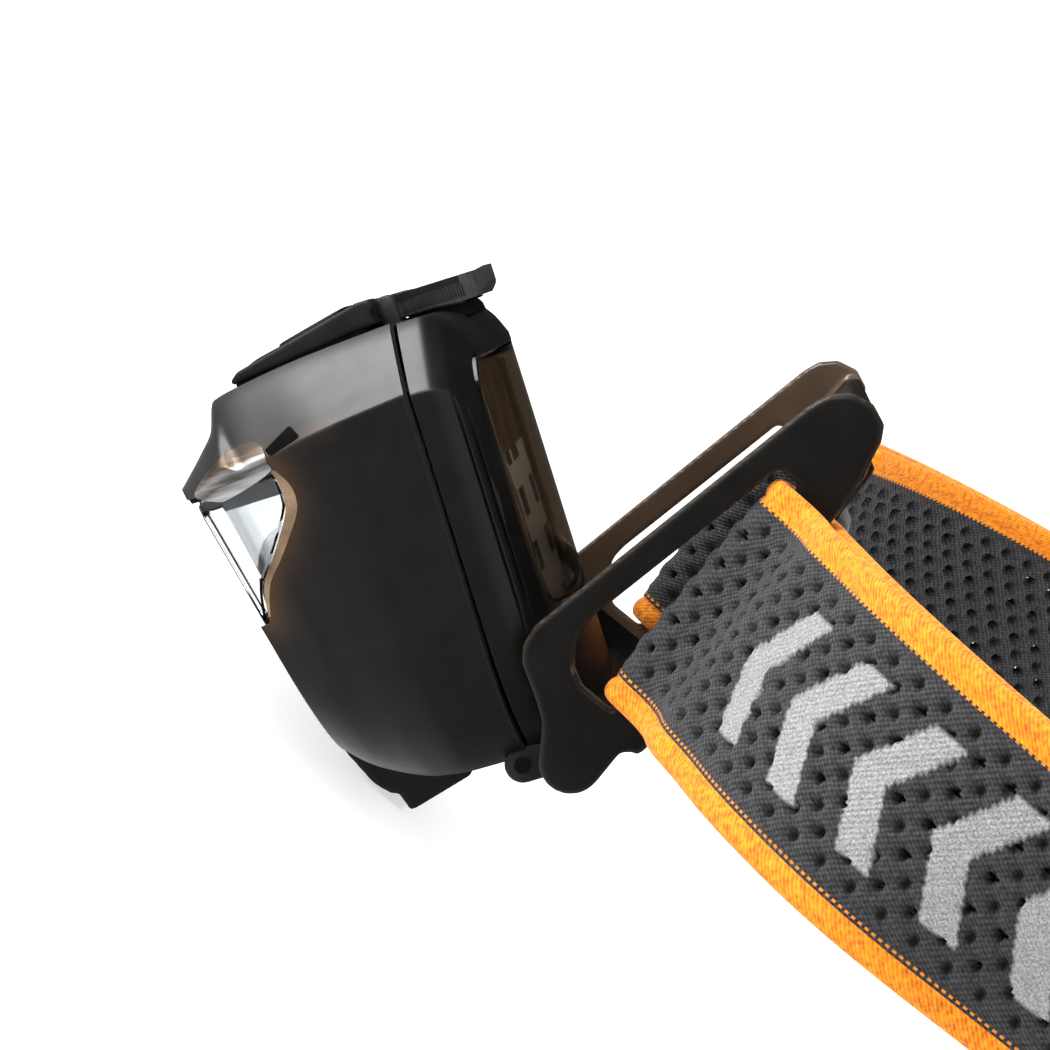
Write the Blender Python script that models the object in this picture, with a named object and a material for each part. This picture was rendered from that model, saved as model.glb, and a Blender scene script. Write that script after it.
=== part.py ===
"""Compact two-beam headlamp on an elastic headband, at rest with the lamp tilted fully down.

Origin: centre of the forehead pad's rear face. +Z is up with the band level, -Y is forward, +X is the
wearer's left. The lamp's own pieces are drawn in lamp coordinates (x, back, up), measured from the
bottom end of the parting line between its two shells, and carried by empties on the joint axes.
"""

import math

import bmesh
import bpy

MM = 0.001

# Frame: an upside-down U with a slotted wing on each side
WING_IN, WING_OUT = 31.2, 33.5
FRAME_REAR = -3.3
PLATE_FRONT, PLATE_REAR, PLATE_HALF = -4.3, -2.8, 28.4
BAR_FRONT = -7.7
SLOT_HALF = 13.4
TILT_Y, TILT_Z = -7.8, -19.5
TILT_REST = math.radians(56.2)
LOBE_R = 2.95
PIN_R, BORE_R = 1.10, 1.17

# Pad
PAD_HALF, PAD_TOP, PAD_BOTTOM, PAD_DEPTH = 26.0, 14.0, -13.0, 2.5

# Lamp, in lamp coordinates
TILT_BACK, TILT_UP = 4.6, -0.93
DOOR_FORE, DOOR_UP, DOOR_R = 0.9, -1.3, 1.75
DOOR_SWING_R = 2.2
LAMP_HALF = 30.0
LAMP_TOP = 42.2
FACE_FOOT, FACE_LEAN = 15.2, 0.2235
FACE_BULGE, FLOOR_BULGE, FLOOR_SPAN = 0.10, 2.2, 26.0
WALL = 1.6
REAR_DEPTH, REAR_FLAT = 7.6, 0.28
LENS_T = 0.885

# Optics and electronics
BEAM_X, BEAM_UP = 13.2, 20.5
BUTTON_X = 9.5
USB_AXIS = (-8.0, -2.2)
REFLECTOR_R = 9.3
BOARD_FORE = 4.4
SCREW_X, SCREW_UPS = 25.9, ((9.5, "low"), (33.0, "high"))
SCREW_R, SCREW_HEAD_R, PILOT_R = 0.8, 1.4, 1.0
BOSS_X, BOSS_R = 26.6, 2.3

# Headband
BAND_T, BAND_W = 1.4, 25.5
HEAD_HALF, HEAD_CURVE, HEAD_FLAT = 77.0, 82.0, 30.0
INNER_OFF, OUTER_OFF = 2.6, 6.1
FOLD_R = 2.3
TAIL_END = 122.0
RUN_STEPS = 12
SLIDER_Y, SLIDER_LEN, SLIDER_HALF = 97.0, 14.0, 15.2
LIFT_NEAR, LIFT_FAR, LIFT_REACH = 5.0, 11.2, 50.0
LEAN, LEAN_FROM, LEAN_TO = 13.0, 10.0, 79.0
JOIN_TURN = 1.04

MATERIALS = {
    "smoked_plastic": ((0.012, 0.011, 0.010), 0.35, 0.0),
    "smoked_clear": ((0.10, 0.075, 0.055), 0.12, 0.0),
    "clear_plastic": ((0.80, 0.82, 0.83), 0.05, 0.0),
    "rubber_black": ((0.015, 0.015, 0.016), 0.75, 0.0),
    "chrome_reflector": ((0.85, 0.85, 0.86), 0.06, 1.0),
    "led_yellow": ((0.80, 0.70, 0.25), 0.30, 0.0),
    "board_green": ((0.03, 0.13, 0.07), 0.45, 0.0),
    "aluminium": ((0.62, 0.63, 0.64), 0.35, 1.0),
    "steel": ((0.55, 0.55, 0.56), 0.30, 1.0),
    "brass": ((0.72, 0.55, 0.26), 0.30, 1.0),
    "battery_grey": ((0.10, 0.10, 0.11), 0.50, 0.0),
    "label_white": ((0.80, 0.80, 0.78), 0.55, 0.0),
    "foam_black": ((0.02, 0.02, 0.02), 0.90, 0.0),
    "band_knit": ((0.04, 0.04, 0.042), 0.90, 0.0),
}


def clear_scene():
    for obj in list(bpy.data.objects):
        bpy.data.objects.remove(obj, do_unlink=True)


def material(name):
    found = bpy.data.materials.get(name)
    if found:
        return found
    colour, roughness, metallic = MATERIALS[name]
    made = bpy.data.materials.new(name)
    made.use_nodes = True
    shader = made.node_tree.nodes["Principled BSDF"]
    shader.inputs["Base Color"].default_value = (*colour, 1.0)
    shader.inputs["Roughness"].default_value = roughness
    shader.inputs["Metallic"].default_value = metallic
    made.diffuse_color = (*colour, 1.0)
    return made


def solid(name, points, faces, slot, split=False):
    """A mesh object from points in millimetres, its faces turned outwards and, if asked, split flat."""
    mesh = bpy.data.meshes.new(name)
    mesh.from_pydata([(x * MM, y * MM, z * MM) for x, y, z in points], [], faces)
    shape = bmesh.new()
    shape.from_mesh(mesh)
    bmesh.ops.remove_doubles(shape, verts=shape.verts, dist=1e-7)
    if split:
        bmesh.ops.triangulate(shape, faces=shape.faces)
    bmesh.ops.recalc_face_normals(shape, faces=shape.faces)
    if shape.calc_volume(signed=True) < 0:
        bmesh.ops.reverse_faces(shape, faces=shape.faces)
    shape.to_mesh(mesh)
    shape.free()
    obj = bpy.data.objects.new(name, mesh)
    bpy.context.scene.collection.objects.link(obj)
    obj.data.materials.append(material(slot))
    return obj


def prism(name, outline, low, high, axis, slot):
    """An outline extruded along an axis. The outline's pairs are the two other coordinates, in order."""

    def place(a, b, depth):
        return {"x": (depth, a, b), "y": (a, depth, b), "z": (a, b, depth)}[axis]

    count = len(outline)
    points = [place(a, b, low) for a, b in outline] + [place(a, b, high) for a, b in outline]
    faces = [tuple(range(count)), tuple(range(count, 2 * count))]
    for i in range(count):
        j = (i + 1) % count
        faces.append((i, j, j + count, i + count))
    return solid(name, points, faces, slot)


def box(name, x, y, z, slot):
    return prism(name, [(y[0], z[0]), (y[1], z[0]), (y[1], z[1]), (y[0], z[1])], x[0], x[1], "x", slot)


def arc(centre_a, centre_b, radius, start, end, steps):
    """Points on an arc, in degrees, from start to end."""
    points = []
    for i in range(steps + 1):
        turn = math.radians(start + (end - start) * i / steps)
        points.append((centre_a + radius * math.cos(turn), centre_b + radius * math.sin(turn)))
    return points


def circle(centre_a, centre_b, radius, steps=24):
    return arc(centre_a, centre_b, radius, 0, 360 - 360 / steps, steps - 1)


def rounded_rect(low_a, high_a, low_b, high_b, radius, steps=4):
    return (
        arc(high_a - radius, high_b - radius, radius, 0, 90, steps)
        + arc(low_a + radius, high_b - radius, radius, 90, 180, steps)
        + arc(low_a + radius, low_b + radius, radius, 180, 270, steps)
        + arc(high_a - radius, low_b + radius, radius, 270, 360, steps)
    )


def turned(name, profile, x, up, slot, steps=24):
    """A closed profile of (radius, back) pairs turned about a line along the lamp's depth."""
    count = len(profile)
    points = []
    for i in range(steps):
        turn = 2 * math.pi * i / steps
        points += [(x + r * math.cos(turn), back, up + r * math.sin(turn)) for r, back in profile]
    faces = []
    for i in range(steps):
        a, b = i * count, ((i + 1) % steps) * count
        faces += [(a + j, a + (j + 1) % count, b + (j + 1) % count, b + j) for j in range(count)]
    return solid(name, points, faces, slot)


def cut(target, tool, operation="DIFFERENCE"):
    """A Boolean on the target by a hidden tool."""
    tool.hide_render = True
    tool.display_type = "WIRE"
    step = target.modifiers.new(tool.name, "BOOLEAN")
    step.operation = operation
    step.solver = "EXACT"
    step.object = tool
    return tool


def join(target, tool):
    return cut(target, tool, "UNION")


def empty(name, location, parent=None):
    made = bpy.data.objects.new(name, None)
    bpy.context.scene.collection.objects.link(made)
    made.location = [value * MM for value in location]
    made.parent = parent
    return made


# Shape of the lamp's shells, column by column across its width

COLUMNS = (0.0, 0.25, 0.5, 0.68, 0.78, 0.86, 0.93, 0.975, 1.0)


def face_fore(share, x, up):
    """How far forward a point lies at a share of the way from the parting plane to the front face."""
    bulge = 1 + FACE_BULGE * max(share, 0) * (1 - (x / LAMP_HALF) ** 2)
    return share * (FACE_FOOT + FACE_LEAN * up) * bulge


def rear_back(share, x, _up):
    """The rear shell's depth at a share of its dome, less towards the sides."""
    return -share * REAR_DEPTH * (1 - REAR_FLAT * (x / LAMP_HALF) ** 2)


def shell_ring(share, half, low, high, corner, bevel, depth):
    """One closed ring of a shell: its lower points from left to right, then its upper ones back."""
    bevel_x, bevel_z = bevel
    signed = [-c for c in reversed(COLUMNS[1:])] + list(COLUMNS)
    lower, upper = [], []
    for column in signed:
        x = column * half
        past = max(abs(x) - (half - corner), 0)
        floor = low + corner - math.sqrt(max(corner**2 - past**2, 0))
        floor -= FLOOR_BULGE * max(1 - (x / FLOOR_SPAN) ** 2, 0)
        past = max(abs(x) - (half - bevel_x), 0)
        roof = high - bevel_z * (past / bevel_x) ** 1.2
        lower.append((x, -depth(share, x, floor), floor))
        upper.append((x, -depth(share, x, roof), roof))
    return lower, upper


def shell(name, rings, depth, slot):
    """A closed body through rings of (share, half width, low, high, corner radius, top bevel)."""
    points, faces = [], []
    columns = 2 * len(COLUMNS) - 1
    for share, half, low, high, corner, bevel in rings:
        lower, upper = shell_ring(share, half, low, high, corner, bevel, depth)
        points += lower + upper
    stride = 2 * columns
    for i in range(len(rings) - 1):
        a, b = i * stride, (i + 1) * stride
        for j in range(columns - 1):
            faces.append((a + j, a + j + 1, b + j + 1, b + j))
            faces.append((a + columns + j, a + columns + j + 1, b + columns + j + 1, b + columns + j))
        for j in (0, columns - 1):
            faces.append((a + j, a + columns + j, b + columns + j, b + j))
    for base in (0, (len(rings) - 1) * stride):
        for j in range(columns - 1):
            faces.append((base + j, base + j + 1, base + columns + j + 1, base + columns + j))
    return solid(name, points, faces, slot, split=True)


# Headband path, in plan


def head_point(offset, turn):
    """A point round the head at an angle from the forehead, on a curve a little way off the skin."""
    half, curve = HEAD_HALF + offset, HEAD_CURVE + offset
    centre = HEAD_CURVE if turn <= math.pi / 2 else HEAD_CURVE + HEAD_FLAT
    return half * math.sin(turn), centre - curve * math.cos(turn)


def run_round(offset, start_turn, end_turn, step=0.09):
    """Points round the head between two angles, with both ends of the straight stretch at the temple."""
    turns = [start_turn]
    while turns[-1] + step < end_turn:
        turns.append(turns[-1] + step)
    points = [head_point(offset, t) for t in turns + [end_turn]]
    half = HEAD_HALF + offset
    if start_turn < math.pi / 2 < end_turn:
        before = [p for t, p in zip(turns + [end_turn], points) if t < math.pi / 2]
        after = [p for t, p in zip(turns + [end_turn], points) if t > math.pi / 2]
        points = before + [(half, HEAD_CURVE), (half, HEAD_CURVE + HEAD_FLAT)] + after
    return points


def band_lift(x, y):
    """How far the band stands above level. Its right side rides up once it is clear of the frame."""
    temple = HEAD_CURVE + HEAD_FLAT
    if y > temple:
        return LIFT_FAR * (0.5 - 0.5 * x / (HEAD_HALF + OUTER_OFF))
    if x > 0:
        return 0.0
    share = min(max((-x - WING_OUT - 1.5 + y - FRAME_REAR) / 10.0, 0.0), 1.0)
    rise = LIFT_NEAR * share * share * (3 - 2 * share)
    along = min(max(y / LIFT_REACH, 0.0), 1.0)
    return rise + (LIFT_FAR - LIFT_NEAR) * math.sin(along * math.pi / 2)


def band_lean(x, y):
    """How far the lower edge tucks in under the upper one, on the left side ahead of the slider."""
    if x < 0 or not LEAN_FROM < y < LEAN_TO:
        return 0.0
    return LEAN * math.sin(math.pi * (y - LEAN_FROM) / (LEAN_TO - LEAN_FROM)) ** 2


def bulge(start, slope, reach, offset):
    """A curved run from the frame's side out to the head's curve, with neither of its ends."""
    end = head_point(offset, JOIN_TURN)
    along = (HEAD_HALF + offset) * math.cos(JOIN_TURN), (HEAD_CURVE + offset) * math.sin(JOIN_TURN)
    back = 16.0 / math.hypot(*along)
    pulls = (start[0] + reach, start[1] + reach * slope), (end[0] - back * along[0], end[1] - back * along[1])
    points = []
    for i in range(1, RUN_STEPS):
        t = i / RUN_STEPS
        shares = (1 - t) ** 3, 3 * t * (1 - t) ** 2, 3 * t * t * (1 - t), t**3
        corners = list(zip(shares, (start, *pulls, end)))
        points.append(tuple(sum(w * p[axis] for w, p in corners) for axis in (0, 1)))
    return points


def band_path():
    """Half of the band's centre line: from the tail's end, in to the fold, and out round to the back."""
    middle = (WING_IN + WING_OUT) / 2
    fold_y = BAR_FRONT + 1.0
    inner_start = (middle - FOLD_R, FRAME_REAR + 0.9)
    outer_start = (middle + FOLD_R, FRAME_REAR - 0.4)
    tail_turn = math.pi / 2 + (TAIL_END - HEAD_CURVE - HEAD_FLAT) / (HEAD_CURVE + INNER_OFF)
    inner = bulge(inner_start, 0.25, 28.0, INNER_OFF) + run_round(INNER_OFF, JOIN_TURN, tail_turn)
    outer = bulge(outer_start, 0.12, 28.0, OUTER_OFF) + run_round(OUTER_OFF, JOIN_TURN, math.pi)
    fold = [
        (middle - FOLD_R * math.cos(math.radians(a)), fold_y - FOLD_R * math.sin(math.radians(a)))
        for a in range(0, 181, 20)
    ]
    return inner[::-1] + [inner_start] + fold + [outer_start] + outer


def strip(name, path, thick, low, high, slot):
    """A strap of even thickness along a path in plan, standing between two heights."""
    points = []
    last = len(path) - 1
    for i, (x, y) in enumerate(path):
        before, after = path[max(i - 1, 0)], path[min(i + 1, last)]
        along_in = math.atan2(y - before[1], x - before[0]) if i else None
        along_out = math.atan2(after[1] - y, after[0] - x) if i < last else None
        first = along_in if along_in is not None else along_out
        second = along_out if along_out is not None else along_in
        turn = math.remainder(second - first, 2 * math.pi)
        heading = first + turn / 2
        reach = thick / 2 / math.cos(turn / 2)
        side_x, side_y = -math.sin(heading) * reach, math.cos(heading) * reach
        bottom, top = low + band_lift(x, y), high + band_lift(x, y)
        size = math.hypot(side_x, side_y)
        toward = math.copysign(1.0, side_x * -x + side_y * (HEAD_CURVE - y)) * band_lean(x, y) / size
        in_x, in_y = x + side_x * toward, y + side_y * toward
        points += [(in_x + side_x, in_y + side_y, bottom), (in_x - side_x, in_y - side_y, bottom)]
        points += [(x - side_x, y - side_y, top), (x + side_x, y + side_y, top)]
    faces = [(0, 1, 2, 3), (4 * last, 4 * last + 1, 4 * last + 2, 4 * last + 3)]
    for i in range(last):
        a, b = 4 * i, 4 * (i + 1)
        faces += [(a + j, a + (j + 1) % 4, b + (j + 1) % 4, b + j) for j in range(4)]
    return solid(name, points, faces, slot, split=True)


# Frame, pad and headband, in the part's own frame


def wing_outline():
    """The wing seen from the side: long leaning front edge, rounded cap, notch and hinge lobe."""
    cap = [(-11.5, 19.5), (-10.8, 21.3), (-9.3, 22.7), (-7.1, 23.2), (-5.2, 22.4), (-4.4, 21.0), (-3.5, 16.4)]
    rear = [(FRAME_REAR, 13.5), (FRAME_REAR, -14.6), (-4.86, -15.9), (-4.85, -18.7)]
    lobe = arc(TILT_Y, TILT_Z, LOBE_R, 0, -155, 8)
    notch = [(-11.2, -19.6), (-12.2, -18.2), (-13.9, -17.0), (-17.0, -15.2), (-17.9, -13.9), (-18.2, -11.9)]
    return cap + rear + lobe + notch


def slot_outline():
    """The strap slot between the wing's front rail and its rear bar, wider at the bottom."""
    front = [(-10.1, 13.0), (-14.6, -7.6), (-14.7, -9.2), (-14.2, -10.9), (-13.0, -12.5), (-11.4, -SLOT_HALF)]
    return [(BAR_FRONT, -SLOT_HALF), (BAR_FRONT, SLOT_HALF), (-9.8, SLOT_HALF)] + front


def make_frame():
    frame = prism("frame", wing_outline(), WING_IN, WING_OUT, "x", "smoked_plastic")
    join(frame, prism("tool_far_wing", wing_outline(), -WING_OUT, -WING_IN, "x", "smoked_plastic"))
    bar = [(-7.6, 17.4), (-7.0, 16.8), (-4.0, 16.6), (-3.4, 17.2), (-4.5, 20.8), (-5.3, 22.2), (-6.4, 22.7)]
    bar += [(-7.4, 21.8)]
    reach = WING_OUT - 0.6
    join(frame, prism("tool_top_bar", bar, -reach, reach, "x", "smoked_plastic"))
    plate = rounded_rect(-PLATE_HALF, PLATE_HALF, -15.6, 18.6, 3.0)
    join(frame, prism("tool_back_plate", plate, PLATE_FRONT, PLATE_REAR, "y", "smoked_plastic"))
    foot = (-4.2, -3.4)
    join(frame, box("tool_foot_strip", (-reach, reach), foot, (-15.2, -13.8), "smoked_plastic"))
    slots = prism("tool_slots", slot_outline(), -WING_OUT - 3, WING_OUT + 3, "x", "smoked_plastic")
    between = WING_IN - 1.2
    cut(slots, box("tool_slot_middle", (-between, between), (-20, 0), (-20, 20), "smoked_plastic"))
    cut(frame, slots)
    bore_end = WING_OUT - 0.7
    bore = prism("tool_bore", circle(TILT_Y, TILT_Z, BORE_R), -bore_end, bore_end, "x", "smoked_plastic")
    cut(frame, bore)
    return frame


def make_pad():
    outline = rounded_rect(-PAD_HALF, PAD_HALF, PAD_BOTTOM, PAD_TOP, 5.0)
    return prism("forehead_pad", outline, -PAD_DEPTH, 0.0, "y", "foam_black")


def make_band():
    half = band_path()
    mirrored = [(-x, y) for x, y in reversed(half[:-1])]
    return strip("headband", half + mirrored, BAND_T, -BAND_W / 2, BAND_W / 2, "band_knit")


def make_slider(name, side):
    """A two-slot band slider round both layers of the band, its origin at its centre."""
    inner = HEAD_HALF + INNER_OFF
    outer = HEAD_HALF + OUTER_OFF
    middle = (inner + outer) / 2
    half_x = (outer - inner) / 2 + BAND_T / 2 + 0.3 + 1.5
    half_y = SLIDER_LEN / 2
    outline = rounded_rect(-half_x, half_x, -SLIDER_HALF, SLIDER_HALF, 1.6, 3)
    body = prism(name, outline, -half_y, half_y, "y", "smoked_plastic")
    window = BAND_W / 2 + 0.4
    for layer, centre in (("inner", inner - middle), ("outer", outer - middle)):
        reach = BAND_T / 2 + 0.3
        tool = box(
            f"tool_{name}_{layer}",
            (centre - reach, centre + reach),
            (-half_y - 2, half_y + 2),
            (-window, window),
            "smoked_plastic",
        )
        tool.parent = body
        cut(body, tool)
    body.location = (side * middle * MM, SLIDER_Y * MM, band_lift(side * middle, SLIDER_Y) * MM)
    return body


def make_tilt_pin():
    reach = WING_OUT - 0.9
    return prism("tilt_pin", circle(TILT_Y, TILT_Z, PIN_R), -reach, reach, "x", "steel")


# Lamp pieces, in lamp coordinates


def settle(obj, carrier, carrier_at, origin=(0.0, 0.0, 0.0)):
    """Parents a piece drawn in lamp coordinates, with its origin moved to a point of the lamp."""
    shift = [value * MM for value in origin]
    for vertex in obj.data.vertices:
        vertex.co = [vertex.co[i] - shift[i] for i in range(3)]
    for step in obj.modifiers:
        if step.type != "BOOLEAN" or step.object.parent:
            continue
        settle(step.object, carrier, carrier_at, origin)
    obj.parent = carrier
    obj.location = [(origin[i] - carrier_at[i]) * MM for i in range(3)]
    return obj


BODY_RINGS = [
    (0.0, 30.0, 0.0, 42.2, 11.0, (6.5, 6.5)),
    (0.37, 29.9, 0.1, 41.6, 11.0, (6.6, 6.8)),
    (0.60, 29.6, 0.6, 40.9, 11.0, (6.7, 7.0)),
    (0.74, 29.3, 1.5, 40.2, 11.0, (6.8, 6.8)),
    (0.80, 29.2, 2.1, 37.4, 10.8, (4.5, 3.4)),
    (0.86, 29.0, 2.8, 36.0, 10.4, (3.5, 2.4)),
    (0.93, 28.6, 3.9, 34.6, 10.0, (3.0, 2.0)),
    (1.0, 28.0, 5.6, 33.3, 9.0, (2.6, 1.8)),
]


def hollow_ring(share, half, low, high):
    return (share, half, low + FLOOR_BULGE * 0.2, high, 9.0, (6.0, 6.0))


def side_window(name, grow, low, high):
    """The piece of the lens that wraps on to the side of the lamp below its brow."""
    outline = [(-14.4, 31.7), (-14.3, 29.9), (-14.7, 28.4), (-16.8, 25.2), (-18.6, 22.8), (-19.3, 19.3)]
    outline += [(-25.0, 19.0), (-25.0, 31.5)]
    if grow:
        outline = [(-14.0, 32.1), (-13.9, 29.8), (-14.3, 28.2), (-16.4, 25.0), (-18.2, 22.6), (-18.9, 18.9)]
        outline += [(-25.5, 18.6), (-25.5, 31.9)]
    return prism(name, outline, low, high, "x", "clear_plastic")


def make_housing(carrier, at):
    housing = shell("front_housing", BODY_RINGS, face_fore, "smoked_plastic")
    inside = [
        hollow_ring(-0.1, 28.3, 2.4, 40.4),
        hollow_ring(0.3, 28.2, 2.6, 40.0),
        hollow_ring(0.66, 27.9, 3.6, 38.9),
    ]
    cut(housing, shell("tool_inside", inside, face_fore, "smoked_plastic"))
    chamber = [
        (0.60, 26.2, 10.9, 30.6, 6.0, (1.5, 1.0)),
        (0.90, 26.2, 10.9, 30.6, 6.0, (1.5, 1.0)),
    ]
    cut(housing, shell("tool_chamber", chamber, face_fore, "smoked_plastic"))
    seat = [
        (LENS_T - 0.02, 27.4, 9.6, 31.9, 7.0, (1.5, 1.0)),
        (1.10, 27.4, 9.6, 31.9, 7.0, (1.5, 1.0)),
    ]
    cut(housing, shell("tool_lens_seat", seat, face_fore, "smoked_plastic"))
    for side, name in ((1, "left"), (-1, "right")):
        low, high = sorted((side * 26.1, side * 31.0))
        cut(housing, side_window(f"tool_side_{name}", True, low, high))
    for side in (-1, 1):
        tag = "left" if side > 0 else "right"
        hole = rounded_rect(side * BUTTON_X - 2.2, side * BUTTON_X + 2.2, -10.7, -6.3, 1.5)
        cut(housing, prism(f"tool_stem_{tag}", hole, 36.0, 46.0, "z", "smoked_plastic"))
    cut(housing, box("tool_port", (-5.3, 5.3), (-13.2, -9.2), (-4.0, 7.0), "smoked_plastic"))
    recess = [(-7.0, -3.2), (-7.0, -1.4), (-11.4, -0.75), (-15.9, 1.95), (-18.4, 4.55)]
    recess += [(-21.0, 4.55), (-21.0, -3.2)]
    cut(housing, prism("tool_cover_recess", recess, -8.3, 8.3, "x", "smoked_plastic"))
    cut(housing, box("tool_board_bay", (-20.3, 20.3), (-13.4, -4.0), (7.0, 12.0), "smoked_plastic"))
    for side, tag in ((1, "left"), (-1, "right")):
        low, high = sorted((side * 18.15, side * 22.85))
        swing = circle(-DOOR_FORE, DOOR_UP, DOOR_SWING_R)
        cut(housing, prism(f"tool_arm_swing_{tag}", swing, low, high, "x", "smoked_plastic"))
    for side in (-1, 1):
        for up, level in SCREW_UPS:
            tag = f"{'left' if side > 0 else 'right'}_{level}"
            boss = circle(side * BOSS_X, up, BOSS_R, 16)
            join(housing, prism(f"tool_boss_{tag}", boss, -12.0, -4.6, "y", "smoked_plastic"))
            pilot = circle(side * SCREW_X, up, PILOT_R, 12)
            cut(housing, prism(f"tool_pilot_{tag}", pilot, -10.5, -2.0, "y", "smoked_plastic"))
    for side, tag in ((1, "left"), (-1, "right")):
        low, high = sorted((side * 13.6, side * 18.0))
        knuckle = arc(-DOOR_FORE, DOOR_UP, DOOR_R, -180, 0, 8)
        knuckle = [(-DOOR_FORE - DOOR_R, 1.2)] + knuckle + [(-0.1, DOOR_UP + 0.6), (-0.1, 1.2)]
        join(housing, prism(f"tool_knuckle_{tag}", knuckle, low, high, "x", "smoked_plastic"))
    bore = prism("tool_door_bore", circle(-DOOR_FORE, DOOR_UP, 0.88), -24, 24, "x", "smoked_plastic")
    cut(housing, bore)
    for side, tag in ((1, "left"), (-1, "right")):
        low, high = sorted((side * 10.9, side * 13.0))
        ear = [(-0.3, 41.0), (-0.3, 44.6), (-0.8, 45.0), (-1.7, 45.0), (-2.1, 44.6), (-2.1, 41.0)]
        join(housing, prism(f"tool_ear_{tag}", ear, low, high, "x", "smoked_plastic"))
    cut(housing, prism("tool_latch_bore", circle(-1.2, 43.6, 0.58), -14, 14, "x", "smoked_plastic"))
    return settle(housing, carrier, at)


def make_lens(carrier, at):
    plate = [
        (LENS_T, 27.1, 9.9, 31.6, 7.0, (1.5, 1.0)),
        (0.985, 27.1, 9.9, 31.6, 7.0, (1.5, 1.0)),
    ]
    lens = shell("front_lens", plate, face_fore, "clear_plastic")
    for side, name in ((1, "left"), (-1, "right")):
        low, high = sorted((side * 26.3, side * 29.5))
        flap = side_window(f"tool_wrap_{name}", False, low, high)
        trim = [(0.5, 29.0, 2.0, 41.0, 9.0, (6.0, 6.0)), (0.97, 28.3, 2.0, 41.0, 9.0, (6.0, 6.0))]
        tool = shell(f"tool_trim_{name}", trim, face_fore, "clear_plastic")
        cut(flap, tool, "INTERSECT")
        join(lens, flap)
    return settle(lens, carrier, at)


def make_optics(carrier, at):
    """Two bowl reflectors, their LEDs and the metal board behind them."""
    rim, base = -14.6, -(BOARD_FORE + 1.4)
    for side, name, throat in ((1, "spot", 2.4), (-1, "flood", 3.4)):
        outer, inner = [], []
        for i in range(7):
            radius = throat + (REFLECTOR_R - throat) * i / 6
            share = (radius**2 - throat**2) / (REFLECTOR_R**2 - throat**2)
            back = base + (rim - base) * share
            inner.append((radius, back))
            outer.append((radius + 0.7, back + (0.7 if 0 < i < 6 else 0)))
        bowl = inner + outer[::-1]
        settle(turned(f"{name}_reflector", bowl, side * BEAM_X, BEAM_UP, "chrome_reflector"), carrier, at)
        led = prism(
            f"{name}_led",
            rounded_rect(side * BEAM_X - 1.5, side * BEAM_X + 1.5, BEAM_UP - 1.5, BEAM_UP + 1.5, 0.4, 2),
            -(BOARD_FORE + 2.4),
            -(BOARD_FORE + 1.3),
            "y",
            "led_yellow",
        )
        settle(led, carrier, at)
    outline = rounded_rect(-23.4, 23.4, 11.0, 31.0, 2.0, 3)
    board = prism("led_board", outline, -(BOARD_FORE + 1.0), -BOARD_FORE, "y", "aluminium")
    settle(board, carrier, at)


def make_electronics(carrier, at):
    plan = rounded_rect(-19.8, 19.8, -13.0, -5.8, 1.0, 2)
    settle(prism("main_board", plan, 8.9, 9.9, "z", "board_green"), carrier, at)
    socket = rounded_rect(-4.5, 4.5, -12.8, -9.6, 1.5, 4)
    usb = prism("usb_socket", socket, 2.0, 8.6, "z", "steel")
    cut(usb, prism("tool_usb_mouth", rounded_rect(-4.1, 4.1, -12.4, -10.0, 1.1, 4), 0.0, 7.4, "z", "steel"))
    settle(usb, carrier, at)
    plan = rounded_rect(-16.0, 16.0, -12.6, -5.0, 1.0, 2)
    settle(prism("switch_board", plan, 32.4, 33.4, "z", "board_green"), carrier, at)
    for side, name in ((1, "spot"), (-1, "flood")):
        x = side * BUTTON_X
        switch = box(f"{name}_switch", (x - 2.2, x + 2.2), (-10.7, -6.3), (33.7, 35.6), "steel")
        settle(switch, carrier, at)


def make_tray(carrier, at):
    """The inner wall that closes off the optics, with its four screws and two battery contacts."""
    outline = rounded_rect(-27.6, 27.6, 5.0, 37.4, 7.0)
    tray = prism("battery_tray", outline, -4.0, -2.9, "y", "smoked_plastic")
    for side in (-1, 1):
        for up, level in SCREW_UPS:
            tag = f"{'left' if side > 0 else 'right'}_{level}"
            hole = circle(side * SCREW_X, up, PILOT_R, 12)
            cut(tray, prism(f"tool_tray_{tag}", hole, -6, 0, "y", "smoked_plastic"))
            shank = circle(side * SCREW_X, up, SCREW_R, 12)
            screw = prism(f"tray_screw_{tag}", shank, -9.6, -2.3, "y", "steel")
            head = circle(side * SCREW_X, up, SCREW_HEAD_R, 12)
            join(screw, prism(f"tool_head_{tag}", head, -2.6, -1.8, "y", "steel"))
            settle(screw, carrier, at)
    settle(tray, carrier, at)
    for side, tag in ((1, "plus"), (-1, "minus")):
        x = side * 15.0
        contact = prism(f"battery_contact_{tag}", circle(x, 0.6, 1.9, 12), 5.4, 8.7, "z", "brass")
        settle(contact, carrier, at)


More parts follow.
